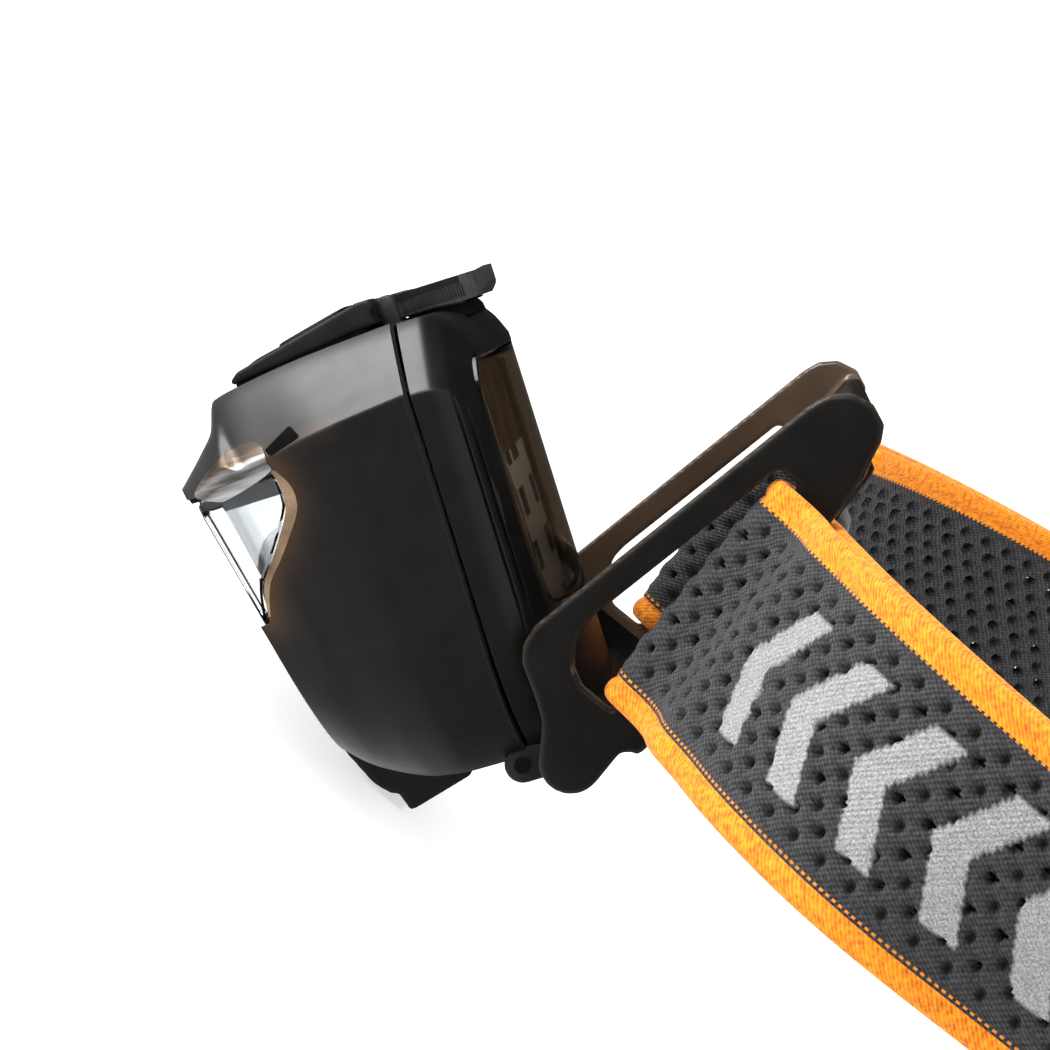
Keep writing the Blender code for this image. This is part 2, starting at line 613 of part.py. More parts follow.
def make_pad_and_buttons(carrier, at):
    """A wedge-shaped rubber pad with two lugs beside the latch, and a sloping button in each well."""
    outline = [(-2.9, 42.5), (-16.8, 41.0), (-17.1, 41.3), (-16.2, 42.1), (-3.3, 45.0), (-2.9, 44.9)]
    lug = [(-3.5, 42.5), (-1.9, 42.5), (-2.3, 43.5), (-1.7, 44.3), (-2.0, 45.0), (-3.5, 45.0)]
    cap_side = [(-4.0, 42.75), (-13.0, 41.95), (-13.0, 43.25), (-4.0, 45.25)]
    pad = prism("button_pad", outline, -19.0, 19.0, "x", "rubber_black")
    for side, tag in ((1, "left"), (-1, "right")):
        low, high = sorted((side * 13.4, side * 19.0))
        join(pad, prism(f"tool_lug_{tag}", lug, low, high, "x", "rubber_black"))
        well = rounded_rect(side * BUTTON_X - 6.8, side * BUTTON_X + 6.8, -12.6, -4.4, 2.2)
        cut(pad, prism(f"tool_well_{tag}", well, 38, 48, "z", "rubber_black"))
    settle(pad, carrier, at)
    for side, name in ((1, "spot"), (-1, "flood")):
        x = side * BUTTON_X
        cap = prism(f"{name}_button", cap_side, x - 7.0, x + 7.0, "x", "rubber_black")
        plan = rounded_rect(x - 6.4, x + 6.4, -12.2, -4.8, 1.9)
        cut(cap, prism(f"tool_{name}_plan", plan, 40, 48, "z", "rubber_black"), "INTERSECT")
        foot = rounded_rect(x - 1.8, x + 1.8, -10.3, -6.7, 1.2)
        join(cap, prism(f"tool_{name}_foot", foot, 36.4, 43.0, "z", "rubber_black"))
        settle(cap, carrier, at, (x, -8.5, 43.0))


def make_latch(carrier, at):
    """Top latch: a ribbed plate on a cross pin, with a thumb lip behind the lamp."""
    side_view = [(-2.4, 43.5), (-2.0, 42.6), (-1.2, 42.4), (3.0, 42.4), (5.5, 42.15), (7.1, 42.2)]
    side_view += [(8.4, 43.3), (8.6, 44.9), (8.2, 44.9), (7.6, 44.7), (-1.2, 44.7), (-2.1, 44.4)]
    latch = prism("latch", side_view, -10.5, 10.5, "x", "smoked_plastic")
    plan = [(-10.5, -3.0), (10.5, -3.0), (10.5, 6.3), (9.6, 7.3), (7.5, 7.9), (4.0, 8.3), (0.0, 8.5)]
    plan += [(-4.0, 8.3), (-7.5, 7.9), (-9.6, 7.3), (-10.5, 6.3)]
    cut(latch, prism("tool_latch_plan", plan, 40, 48, "z", "smoked_plastic"), "INTERSECT")
    cut(latch, prism("tool_latch_pin_hole", circle(-1.2, 43.6, 0.58), -12, 12, "x", "smoked_plastic"))
    settle(latch, carrier, at, (0.0, -1.2, 43.6))
    settle(prism("latch_pin", circle(-1.2, 43.6, 0.5, 16), -12.8, 12.8, "x", "steel"), carrier, at)


def make_usb_cover(carrier, at):
    top = [(-7.6, -1.75), (-11.3, -1.1), (-15.7, 1.6), (-17.9, 3.9)]
    steps = [(-19.3, 4.0), (-18.9, 2.8), (-17.3, -0.7), (-16.5, -1.6), (-15.9, -2.2), (-15.2, -2.4)]
    steps += [(-14.6, -4.3), (-14.0, -4.3), (-7.7, -2.7)]
    cover = prism("usb_cover", top + steps, -8.0, 8.0, "x", "rubber_black")
    settle(cover, carrier, at, (0.0, *USB_AXIS))


def make_rear_case(carrier, at):
    rings = [
        (0.04, 29.5, 0.1, 42.0, 11.0, (6.5, 6.5)),
        (0.35, 29.1, 0.1, 41.8, 11.0, (6.5, 6.5)),
        (0.65, 28.9, 0.4, 41.2, 11.0, (6.5, 6.5)),
        (0.85, 28.0, 1.4, 39.8, 10.5, (6.5, 6.5)),
        (1.0, 25.6, 3.6, 37.6, 9.5, (6.0, 5.5)),
    ]
    case = shell("rear_case", rings, rear_back, "smoked_plastic")
    inside = [
        (-0.3, 27.9, 2.0, 40.4, 9.5, (6.0, 6.0)),
        (0.60, 27.4, 2.2, 39.8, 9.5, (6.0, 6.0)),
        (0.82, 25.6, 3.8, 37.8, 9.0, (6.0, 5.5)),
    ]
    cut(case, shell("tool_case_inside", inside, rear_back, "smoked_plastic"))
    barrel = prism("tool_barrel", circle(TILT_BACK, TILT_UP, 2.9), -28.8, 28.8, "x", "smoked_plastic")
    join(case, barrel)
    boss = prism("tool_barrel_boss", circle(TILT_BACK, TILT_UP, 2.5), -29.6, 29.6, "x", "smoked_plastic")
    join(case, boss)
    clear = rounded_rect(-1.0, 3.0, 1.9, 5.0, 0.3, 2)
    cut(case, prism("tool_barrel_inside", clear, -20, 20, "x", "smoked_plastic"))
    for side, tag in ((1, "left"), (-1, "right")):
        low, high = sorted((side * 18.4, side * 22.6))
        arm = arc(-DOOR_FORE, DOOR_UP, DOOR_R, 180, 270, 5)
        arm += [(4.6, DOOR_UP - DOOR_R), (4.6, -0.6), (0.6, 0.4)]
        arm += [(0.4, DOOR_UP + DOOR_R), (-DOOR_FORE, DOOR_UP + DOOR_R)]
        arm += arc(-DOOR_FORE, DOOR_UP, DOOR_R, 110, 160, 3)
        join(case, prism(f"tool_arm_{tag}", arm, low, high, "x", "smoked_plastic"))
    relief = circle(-DOOR_FORE, DOOR_UP, DOOR_SWING_R)
    cut(case, prism("tool_door_swing", relief, -18.35, 18.35, "x", "smoked_plastic"))
    cut(case, prism("tool_case_door_bore", circle(-DOOR_FORE, DOOR_UP, 0.88), -24, 24, "x", "smoked_plastic"))
    cut(case, prism("tool_tilt_bore", circle(TILT_BACK, TILT_UP, BORE_R), -31, 31, "x", "smoked_plastic"))
    opening = [
        (0.70, 24.4, 13.0, 36.8, 3.0, (2.0, 2.0)),
        (1.20, 24.4, 13.0, 36.8, 3.0, (2.0, 2.0)),
    ]
    cut(case, shell("tool_window", opening, rear_back, "smoked_plastic"))
    settle(case, carrier, at)
    pane = [
        (0.83, 24.1, 13.3, 36.5, 3.0, (2.0, 2.0)),
        (1.0, 24.1, 13.3, 36.5, 3.0, (2.0, 2.0)),
    ]
    settle(shell("rear_window", pane, rear_back, "smoked_clear"), carrier, at)
    door_pin = prism("door_pin", circle(-DOOR_FORE, DOOR_UP, 0.8, 20), -22.8, 22.8, "x", "steel")
    settle(door_pin, carrier, at)


def make_battery(carrier, at):
    outline = rounded_rect(-22.5, 22.5, 9.0, 37.6, 2.0, 3)
    pack = prism("battery_pack", outline, -2.3, 4.5, "y", "battery_grey")
    settle(pack, carrier, at)
    label_outline = rounded_rect(-21.5, 21.5, 11.0, 36.6, 1.0, 2)
    label = prism("battery_label", label_outline, 4.6, 4.75, "y", "label_white")
    settle(label, carrier, at)


def make_gasket(carrier, at):
    """The seal between the two shells, inside the parting line."""
    ring = prism("case_seal", rounded_rect(-27.4, 27.4, 4.0, 39.4, 9.0, 5), 0.4, 1.8, "y", "rubber_black")
    cut(ring, prism("tool_seal", rounded_rect(-26.3, 26.3, 5.1, 38.3, 8.0, 5), -2, 4, "y", "rubber_black"))
    settle(ring, carrier, at)


def make_washers(carrier, at):
    for side, tag in ((1, "left"), (-1, "right")):
        low, high = sorted((side * 29.95, side * 30.85))
        ring = prism(f"tilt_washer_{tag}", circle(TILT_BACK, TILT_UP, 2.5), low, high, "x", "steel")
        cut(ring, prism(f"tool_washer_{tag}", circle(TILT_BACK, TILT_UP, BORE_R), -40, 40, "x", "steel"))
        settle(ring, carrier, at)


def main():
    clear_scene()
    make_frame()
    make_pad()
    make_band()
    make_slider("band_slider_left", 1)
    make_slider("band_slider_right", -1)
    make_tilt_pin()

    tilt_at = (0.0, TILT_BACK, TILT_UP)
    tilt_axis = empty("tilt_axis", (0.0, TILT_Y, TILT_Z))
    tilt_axis.rotation_euler = (TILT_REST, 0.0, 0.0)
    door_at = (0.0, -DOOR_FORE, DOOR_UP)
    door_axis = empty("door_axis", [door_at[i] - tilt_at[i] for i in range(3)], tilt_axis)

    make_rear_case(tilt_axis, tilt_at)
    make_battery(tilt_axis, tilt_at)
    make_gasket(tilt_axis, tilt_at)
    make_washers(tilt_axis, tilt_at)

    make_housing(door_axis, door_at)
    make_lens(door_axis, door_at)
    make_optics(door_axis, door_at)
    make_electronics(door_axis, door_at)
    make_tray(door_axis, door_at)
    make_pad_and_buttons(door_axis, door_at)
    make_latch(door_axis, door_at)
    make_usb_cover(door_axis, door_at)


main()
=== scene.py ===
"""Headlamp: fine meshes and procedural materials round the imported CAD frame."""

import math

import bmesh
import bpy
from mathutils import Matrix, Vector


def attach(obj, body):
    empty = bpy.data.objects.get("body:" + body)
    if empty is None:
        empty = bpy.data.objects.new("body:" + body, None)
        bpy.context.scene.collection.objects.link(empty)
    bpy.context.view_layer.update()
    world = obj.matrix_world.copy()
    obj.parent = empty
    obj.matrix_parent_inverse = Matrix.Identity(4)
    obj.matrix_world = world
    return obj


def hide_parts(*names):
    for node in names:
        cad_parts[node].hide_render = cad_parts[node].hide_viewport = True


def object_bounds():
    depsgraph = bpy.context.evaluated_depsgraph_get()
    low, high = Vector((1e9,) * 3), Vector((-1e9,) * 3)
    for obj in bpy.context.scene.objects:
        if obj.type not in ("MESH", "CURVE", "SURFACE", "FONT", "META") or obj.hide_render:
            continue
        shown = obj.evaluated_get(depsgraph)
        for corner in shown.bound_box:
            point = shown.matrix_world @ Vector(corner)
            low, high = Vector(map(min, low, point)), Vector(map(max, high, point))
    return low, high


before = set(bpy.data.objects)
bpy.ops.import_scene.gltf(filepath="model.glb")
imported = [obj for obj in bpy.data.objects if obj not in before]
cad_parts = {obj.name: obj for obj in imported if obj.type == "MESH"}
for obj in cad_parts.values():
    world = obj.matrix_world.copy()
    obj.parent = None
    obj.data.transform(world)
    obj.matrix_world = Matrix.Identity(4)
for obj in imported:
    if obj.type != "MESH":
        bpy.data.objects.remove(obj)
cad_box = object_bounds()
MM = 0.001

# Placing of the lamp's own coordinates (x, b back, u up), in millimetres, and of the parts they share
TILT_Y, TILT_Z, TILT_B, TILT_U = -7.8, -19.5, 4.6, -0.93
TILT_REST = math.radians(56.2)
TILT_COS, TILT_SIN = math.cos(TILT_REST), math.sin(TILT_REST)
FACE_FOOT, FACE_LEAN, FACE_BULGE = 15.2, 0.2235, 0.10
REAR_DEPTH, REAR_FLAT = 7.6, 0.28
FLOOR_BULGE, FLOOR_SPAN = 2.2, 26.0
LAMP_HALF = 30.0
BEAM_X, BEAM_U = 13.2, 20.5
LABEL_TOP = (TILT_Z + 27.5) * MM
BROW_FOOT = (TILT_Z - TILT_U + 31.1 - 0.20 * (-16.0 - TILT_B + TILT_Y)) * MM
WING_IN, WING_OUT = 31.2, 33.5
DOOR_B, DOOR_U, DOOR_R = -0.9, -1.3, 1.75

# Sky strength, and what glossy surfaces see from the lamp's face (0) round by its side (0.5) to its back (1)
SKY, UNLIT = 0.85, 0.03
ROOM = (
    (0.0, 1.0), (0.30, 1.0), (0.42, 0.20), (0.53, 0.12), (0.60, 0.30), (0.70, 0.85), (0.88, 0.85), (0.955, 0.03)
)


def lamp(x, b, u):
    """A point in lamp coordinates, turned to where the lamp hangs at rest."""
    b, u = b - TILT_B, u - TILT_U
    return x, TILT_Y + b * TILT_COS - u * TILT_SIN, TILT_Z + b * TILT_SIN + u * TILT_COS


# Node helpers


def new_material(name, **values):
    made = bpy.data.materials.new(name)
    made.use_nodes = True
    shader = made.node_tree.nodes["Principled BSDF"]
    for key, value in values.items():
        socket = shader.inputs[key.replace("_", " ")]
        socket.default_value = (*value, 1.0) if isinstance(value, tuple) else value
    return made


class Graph:
    """Short names for adding and joining the nodes of a material or a world."""

    def __init__(self, owner):
        self.tree = owner.node_tree
        self.shader = self.tree.nodes.get("Principled BSDF")

    def add(self, kind, **settings):
        node = self.tree.nodes.new(kind)
        for key, value in settings.items():
            if hasattr(node, key):
                setattr(node, key, value)
            else:
                node.inputs[key.replace("_", " ")].default_value = value
        return node

    def join(self, a, b):
        self.tree.links.new(a, b)

    def split(self, vector):
        node = self.add("ShaderNodeSeparateXYZ")
        self.join(vector, node.inputs[0])
        return node.outputs["X"], node.outputs["Y"], node.outputs["Z"]

    def marks(self, name):
        return self.add("ShaderNodeAttribute", attribute_name=name).outputs["Fac"]

    def cells(self, scale):
        node = self.add("ShaderNodeTexVoronoi", Scale=scale)
        self.join(self.where(), node.inputs["Vector"])
        return node.outputs["Distance"]

    def where(self):
        return self.add("ShaderNodeTexCoord").outputs["Object"]

    def lamp_place(self):
        """Object coordinates turned so that the lamp's own up is up."""
        turn = self.add("ShaderNodeVectorRotate", rotation_type="X_AXIS")
        turn.inputs["Center"].default_value = (0.0, TILT_Y * MM, TILT_Z * MM)
        turn.inputs["Angle"].default_value = -TILT_REST
        self.join(self.where(), turn.inputs["Vector"])
        return turn.outputs["Vector"]

    def noise(self, scale, detail=3.0, source=None, stretch=None):
        node = self.add("ShaderNodeTexNoise", Scale=scale, Detail=detail)
        point = source or self.where()
        if stretch:
            squeeze = self.add("ShaderNodeMapping")
            squeeze.inputs["Scale"].default_value = stretch
            self.join(point, squeeze.inputs["Vector"])
            point = squeeze.outputs["Vector"]
        self.join(point, node.inputs["Vector"])
        return node.outputs["Fac"]

    def ramp(self, value, stops, curve="LINEAR"):
        node = self.add("ShaderNodeValToRGB")
        band = node.color_ramp
        band.interpolation = curve
        while len(band.elements) < len(stops):
            band.elements.new(0.5)
        for element, (place, colour) in zip(band.elements, stops):
            element.position = place
            element.color = (*colour, 1.0)
        self.join(value, node.inputs["Fac"])
        return node.outputs["Color"]

    def math(self, operation, a, b=None, clamp=False):
        node = self.add("ShaderNodeMath", operation=operation, use_clamp=clamp)
        for place, value in enumerate((a, b)):
            if value is None:
                continue
            if isinstance(value, (int, float)):
                node.inputs[place].default_value = value
            else:
                self.join(value, node.inputs[place])
        return node.outputs[0]

    def wave(self, along, rate):
        return self.math("SINE", self.math("MULTIPLY", along, rate))

    def mix(self, share, a, b):
        node = self.add("ShaderNodeMix", data_type="RGBA")
        for place, value in ((0, share), (6, a), (7, b)):
            if isinstance(value, tuple):
                node.inputs[place].default_value = (*value, 1.0)
            else:
                self.join(value, node.inputs[place])
        return node.outputs[2]

    def spread(self, value, low, high, start=0.0, end=1.0):
        node = self.add("ShaderNodeMapRange")
        self.join(value, node.inputs["Value"])
        for key, number in (("From Min", start), ("From Max", end), ("To Min", low), ("To Max", high)):
            node.inputs[key].default_value = number
        return node.outputs["Result"]

    def bump(self, height, distance, strength=1.0):
        node = self.add("ShaderNodeBump", Strength=strength, Distance=distance)
        self.join(height, node.inputs["Height"])
        self.join(node.outputs["Normal"], self.shader.inputs["Normal"])

    def set(self, socket, source):
        self.join(source, self.shader.inputs[socket])


def moulded(name, dark, light, rough, grain=9000.0, depth=0.00002, edge=None, glow=None, **values):
    """Moulded plastic or rubber: mottled colour, fine spark-eroded grain, slightly uneven gloss, and if asked a
    painted edge highlight and a painted glow.
    """
    made = new_material(name, **values)
    g = Graph(made)
    cloud = g.noise(220.0, 4.0)
    colour = g.ramp(cloud, [(0.3, dark), (0.7, light)])
    # Painted highlight: sharp convex edges get a lighter colour for the light they catch.
    if edge:
        sharpness = g.add("ShaderNodeNewGeometry").outputs["Pointiness"]
        edge_highlight = g.ramp(sharpness, [(0.52, (0, 0, 0)), (0.60, (1, 1, 1))])
        colour = g.mix(edge_highlight, colour, edge)
    # Painted glow: marked places take a warm colour for light that passes through the smoked wall.
    if glow:
        colour = g.mix(g.marks("glow"), colour, glow)
    g.set("Base Color", colour)
    g.set("Roughness", g.spread(g.noise(600.0, 2.0), rough - 0.05, rough + 0.07))
    g.bump(g.noise(grain, 2.0), depth, 0.35)
    return made


def metal(name, dark, light, rough, stretch=(1.0, 30.0, 30.0), scale=400.0):
    made = new_material(name, Metallic=1.0)
    g = Graph(made)
    lines = g.noise(scale, 4.0, stretch=stretch)
    g.set("Base Color", g.ramp(lines, [(0.25, dark), (0.75, light)]))
    g.set("Roughness", g.spread(lines, rough - 0.06, rough + 0.12))
    g.bump(lines, 0.00002, 0.25)
    return made


# Its edge colour is a painted highlight on sharp edges, and its glow colour is painted light passing through the
# wall.
SMOKED = moulded(
    "smoked_satin", (0.0038, 0.0036, 0.0035), (0.0064, 0.0060, 0.0057), 0.30, edge=(0.02, 0.018, 0.016),
    glow=(0.060, 0.026, 0.010), Specular_IOR_Level=0.32
)
RUBBER = moulded(
    "soft_rubber", (0.0055, 0.0055, 0.0055), (0.0105, 0.0105, 0.0105), 0.50, depth=0.00004,
    Specular_IOR_Level=0.22
)
# Its edge colour is a painted highlight on the frame's sharp edges.
FRAME_DARK = moulded(
    "frame_satin", (0.0045, 0.0043, 0.0040), (0.0080, 0.0074, 0.0069), 0.33, edge=(0.045, 0.039, 0.033),
    Specular_IOR_Level=0.16
)
STEEL = metal("pin_steel", (0.42, 0.42, 0.43), (0.66, 0.66, 0.67), 0.28)
BLACKENED = metal("blackened_steel", (0.012, 0.012, 0.012), (0.03, 0.03, 0.03), 0.35)
BRASS = metal("contact_brass", (0.62, 0.44, 0.18), (0.82, 0.63, 0.32), 0.26)
ALUMINIUM = metal("board_metal", (0.55, 0.56, 0.57), (0.74, 0.74, 0.75), 0.35)


def frame_glow():
    """Smoked frame plastic where light passes: glossy and part see-through, with a lighter brown painted in for the
    light shining through it.
    """
    made = new_material("frame_glow", Transmission_Weight=0.55, IOR=1.5, Roughness=0.16)
    g = Graph(made)
    cloud = g.noise(90.0, 3.0)
    g.set("Base Color", g.ramp(cloud, [(0.3, (0.14, 0.085, 0.050)), (0.7, (0.23, 0.155, 0.105))]))
    g.set("Roughness", g.spread(g.noise(500.0, 2.0), 0.12, 0.22))
    g.bump(g.noise(1500.0, 2.0), 0.00001, 0.2)
    return made


def clear_plastic(name, tint, rough, bend=1.49):
    made = new_material(name, Transmission_Weight=1.0, IOR=bend)
    g = Graph(made)
    lighter = tuple(min(c * 1.04, 1.0) for c in tint)
    g.set("Base Color", g.ramp(g.noise(60.0, 2.0), [(0.2, tint), (0.8, lighter)]))
    g.set("Roughness", g.spread(g.noise(300.0, 2.0), rough, rough + 0.02))
    return made


def smoked_pane():
    """Smoked plastic, tinted through its thickness, so that it is darkest seen edge-on."""
    made = clear_plastic("smoked_window", (0.90, 0.89, 0.88), 0.02, 1.02)
    g = Graph(made)
    tint = g.add("ShaderNodeVolumeAbsorption", Density=520.0)
    tint.inputs["Color"].default_value = (0.45, 0.38, 0.28, 1.0)
    g.join(tint.outputs["Volume"], g.tree.nodes["Material Output"].inputs["Volume"])
    return made


def chrome():
    made = new_material("bowl_chrome", Metallic=1.0)
    g = Graph(made)
    facets = g.cells(900.0)
    g.set("Base Color", g.ramp(facets, [(0.0, (0.80, 0.80, 0.82)), (1.0, (0.93, 0.93, 0.93))]))
    g.set("Roughness", g.spread(g.noise(700.0, 2.0), 0.04, 0.10))
    g.bump(facets, 0.00006, 0.35)
    return made


def phosphor():
    made = new_material("led_phosphor", Roughness=0.35, Subsurface_Weight=0.2)
    g = Graph(made)
    g.set("Base Color", g.ramp(g.noise(2500.0, 3.0), [(0.2, (0.72, 0.56, 0.12)), (0.8, (0.90, 0.78, 0.30))]))
    g.bump(g.noise(6000.0, 2.0), 0.00002, 0.4)
    return made


def board():
    made = new_material("board_green")
    g = Graph(made)
    lines = g.add("ShaderNodeTexBrick", Scale=260.0)
    g.join(g.where(), lines.inputs["Vector"])
    greens = {"Color1": (0.012, 0.075, 0.035), "Color2": (0.016, 0.10, 0.045), "Mortar": (0.05, 0.19, 0.09)}
    for key, colour in greens.items():
        lines.inputs[key].default_value = (*colour, 1.0)
    g.set("Base Color", lines.outputs["Color"])
    g.set("Roughness", g.spread(g.noise(800.0), 0.3, 0.5))
    g.bump(lines.outputs["Fac"], 0.00004, 0.4)
    return made


def knit():
    """Charcoal knit: two-tone yarn loops, orange selvedge threads, a reflective print on its mask, and painted shade
    in its hollows.
    """
    made = new_material("band_knit", Sheen_Weight=0.1, Sheen_Roughness=0.5, Specular_IOR_Level=0.25)
    g = Graph(made)
    along, across, _ = g.split(g.add("ShaderNodeUVMap", uv_map="band").outputs["UV"])
    rows = g.math("SINE", g.math("MULTIPLY", g.math("ADD", along, g.math("MULTIPLY", across, 0.35)), 9.5))
    loops = g.wave(across, 13.0)
    weave = g.math("MULTIPLY", rows, loops)
    fuzz = g.noise(2600.0, 4.0)
    tone = g.math("ADD", g.math("MULTIPLY", weave, 0.22), fuzz)
    greys = [(0.25, (0.013, 0.013, 0.015)), (0.55, (0.034, 0.034, 0.037)), (0.85, (0.066, 0.066, 0.07))]
    yarn = g.ramp(tone, greys)
    off = g.math("ABSOLUTE", across)
    stitch = g.math("GREATER_THAN", g.wave(along, 9.0), -0.1)
    near_edge = g.math("MULTIPLY", g.math("GREATER_THAN", off, 9.9), g.math("LESS_THAN", off, 10.15))
    thread = g.math("MULTIPLY", near_edge, stitch)
    yarn = g.mix(thread, yarn, (0.70, 0.22, 0.018))
    shade = g.marks("print")
    # Painted shade: the knit's low hollows turn near black.
    yarn = g.mix(g.marks("pit"), yarn, (0.004, 0.004, 0.0045))
    speck = g.ramp(g.noise(5200.0, 2.0), [(0.38, (0.19, 0.19, 0.19)), (0.62, (0.36, 0.36, 0.355))])
    g.set("Base Color", g.mix(shade, yarn, speck))
    g.set("Roughness", g.spread(shade, 0.92, 0.55))
    g.bump(g.math("ADD", weave, g.math("MULTIPLY", fuzz, 1.6)), 0.00010, 0.7)
    return made


def selvedge():
    """Rolled orange edge: bright ribs, darker between, with a little of the charcoal yarn."""
    made = new_material("band_selvedge", Sheen_Weight=0.08, Specular_IOR_Level=0.25)
    g = Graph(made)
    along, across, _ = g.split(g.add("ShaderNodeUVMap", uv_map="band").outputs["UV"])
    ribs = g.wave(g.math("ADD", along, across), 13.0)
    tone = g.math("ADD", g.math("MULTIPLY", ribs, 0.10), g.noise(1800.0, 4.0))
    oranges = [(0.28, (0.46, 0.10, 0.006)), (0.5, (0.78, 0.22, 0.008)), (0.75, (0.92, 0.34, 0.015))]
    g.set("Base Color", g.ramp(tone, oranges))
    g.set("Roughness", g.spread(g.noise(900.0), 0.75, 0.95))
    g.bump(tone, 0.00009, 0.6)
    return made


def foam_cloth():
    made = new_material("pad_cloth", Sheen_Weight=0.3)
    g = Graph(made)
    pores = g.cells(1100.0)
    g.set("Base Color", g.ramp(pores, [(0.1, (0.010, 0.010, 0.011)), (0.7, (0.040, 0.040, 0.043))]))
    g.set("Roughness", g.spread(g.noise(500.0), 0.85, 0.98))
    g.bump(pores, 0.00012, 0.7)
    return made


def battery_wrap():
    made = new_material("battery_wrap", Roughness=0.35)
    g = Graph(made)
    browns = [(0.35, (0.030, 0.024, 0.020)), (0.65, (0.085, 0.060, 0.035))]
    g.set("Base Color", g.ramp(g.noise(120.0, 3.0), browns))
    g.set("Roughness", g.spread(g.noise(600.0), 0.3, 0.5))
    g.bump(g.noise(400.0, 2.0), 0.00008, 0.4)
    return made


def label_paper():
    """White label printed with plain dark blocks, below a bare amber-brown strip of battery wrap."""
    made = new_material("label_paper", Roughness=0.6, Specular_IOR_Level=0.08)
    g = Graph(made)
    across, _, up = g.split(g.lamp_place())
    swap = g.add("ShaderNodeCombineXYZ")
    g.join(across, swap.inputs["X"])
    g.join(up, swap.inputs["Y"])
    blocks = g.add("ShaderNodeTexBrick", Scale=46.0, offset=0.37, squash=0.8, Mortar_Size=0.06)
    g.join(swap.outputs["Vector"], blocks.inputs["Vector"])
    for key, grey in (("Color1", 0.0), ("Color2", 1.0), ("Mortar", 1.0)):
        blocks.inputs[key].default_value = (grey, grey, grey, 1.0)
    paper = g.ramp(g.noise(900.0), [(0.3, (0.82, 0.81, 0.79)), (0.7, (0.90, 0.89, 0.87))])
    shade = g.ramp(blocks.outputs["Color"], [(0.40, (1, 1, 1)), (0.45, (0, 0, 0))])
    printed = g.mix(shade, paper, (0.02, 0.019, 0.018))
    amber = g.ramp(g.noise(160.0), [(0.35, (0.018, 0.012, 0.008)), (0.65, (0.16, 0.085, 0.022))])
    bare = g.math("GREATER_THAN", up, LABEL_TOP)
    g.set("Base Color", g.mix(bare, printed, amber))
    g.bump(g.noise(1500.0), 0.00002, 0.3)
    return made


def brow_mirror_and_painted_sheen():
    """Clear moulding over a mirror, its colour banded by height as a painted reflection: brown at its upper edge,
    grey streaks, and a painted highlight as a bright lower lip.
    """
    made = new_material("brow_mirror_and_painted_sheen", Metallic=0.9)
    g = Graph(made)
    place = g.lamp_place()
    _, back, up = g.split(place)
    slope = g.math("SUBTRACT", up, g.math("MULTIPLY", back, 0.20))
    streak = g.noise(420.0, 3.0, source=place, stretch=(1.0, 0.5, 6.0))
    level = g.math("MULTIPLY", g.math("SUBTRACT", slope, BROW_FOOT), 240.0)
    level = g.math("ADD", level, g.math("MULTIPLY", g.math("SUBTRACT", streak, 0.5), 0.5))
    # Painted reflection bands, from a bright lip at the foot up to brown at the top.
    stops = [(0.10, (0.85, 0.85, 0.85)), (0.30, (0.50, 0.50, 0.51)), (0.46, (0.12, 0.11, 0.10))]
    stops += [(0.60, (0.40, 0.39, 0.38)), (0.78, (0.10, 0.075, 0.055)), (0.95, (0.05, 0.04, 0.03))]
    g.set("Base Color", g.ramp(level, stops))
    g.set("Roughness", g.spread(streak, 0.28, 0.42))
    g.bump(streak, 0.00008, 0.3)
    return made


GLOW, CHROME, PHOSPHOR, BOARD = frame_glow(), chrome(), phosphor(), board()
KNIT, SELVEDGE, CLOTH, WRAP, LABEL = knit(), selvedge(), foam_cloth(), battery_wrap(), label_paper()
CLEAR = clear_plastic("clear_lens", (0.84, 0.87, 0.89), 0.01)
BROW = brow_mirror_and_painted_sheen()
WINDOW = smoked_pane()
MATTE = moulded("matte_black", (0.003, 0.003, 0.003), (0.006, 0.006, 0.006), 0.6, Specular_IOR_Level=0.06)
# Painted light: a tan strip for the light caught in the smoked wall's edge by each side window.
EDGE_GLOW = moulded("window_rim", (0.07, 0.042, 0.022), (0.26, 0.17, 0.095), 0.25)
INNER = moulded("inner_plastic", (0.012, 0.012, 0.012), (0.022, 0.021, 0.02), 0.42)

# Mesh helpers


def linked(name, data):
    obj = bpy.data.objects.new(name, data)
    bpy.context.scene.collection.objects.link(obj)
    return obj


def mesh_of(name, points, faces, unit=MM):
    mesh = bpy.data.meshes.new(name)
    mesh.from_pydata([(x * unit, y * unit, z * unit) for x, y, z in points], [], faces)
    return mesh


def dress(obj, material):
    obj.data.materials.clear()
    obj.data.materials.append(material)


def ring_quads(a, b, count):
    """The faces between two rings of points that start at a and at b."""
    return [(a + j, a + (j + 1) % count, b + (j + 1) % count, b + j) for j in range(count)]


def prism_faces(count):
    """The faces of a prism whose two outlines follow each other in the point list."""
    ends = [tuple(range(count)), tuple(range(2 * count - 1, count - 1, -1))]
    return ends + ring_quads(0, count, count)


def piece(name, points, faces, material, body, cad=(), slot=None, angle=35.0, extra=(), indices=None):
    """A mesh object from millimetre points in the part's frame, smooth but for its sharp edges."""
    mesh = mesh_of(name, points, faces)
    for used in (material, *extra):
        mesh.materials.append(used)
    if indices:
        mesh.polygons.foreach_set("material_index", indices)
    mesh.validate()
    return finish_piece(linked(name, mesh), body, cad, angle)


def finish_piece(obj, body, cad=(), angle=35.0):
    obj.data.polygons.foreach_set("use_smooth", [True] * len(obj.data.polygons))
    obj.data.set_sharp_from_angle(angle=math.radians(angle))
    if body:
        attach(obj, body)
    if cad:
        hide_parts(*cad)
    return obj


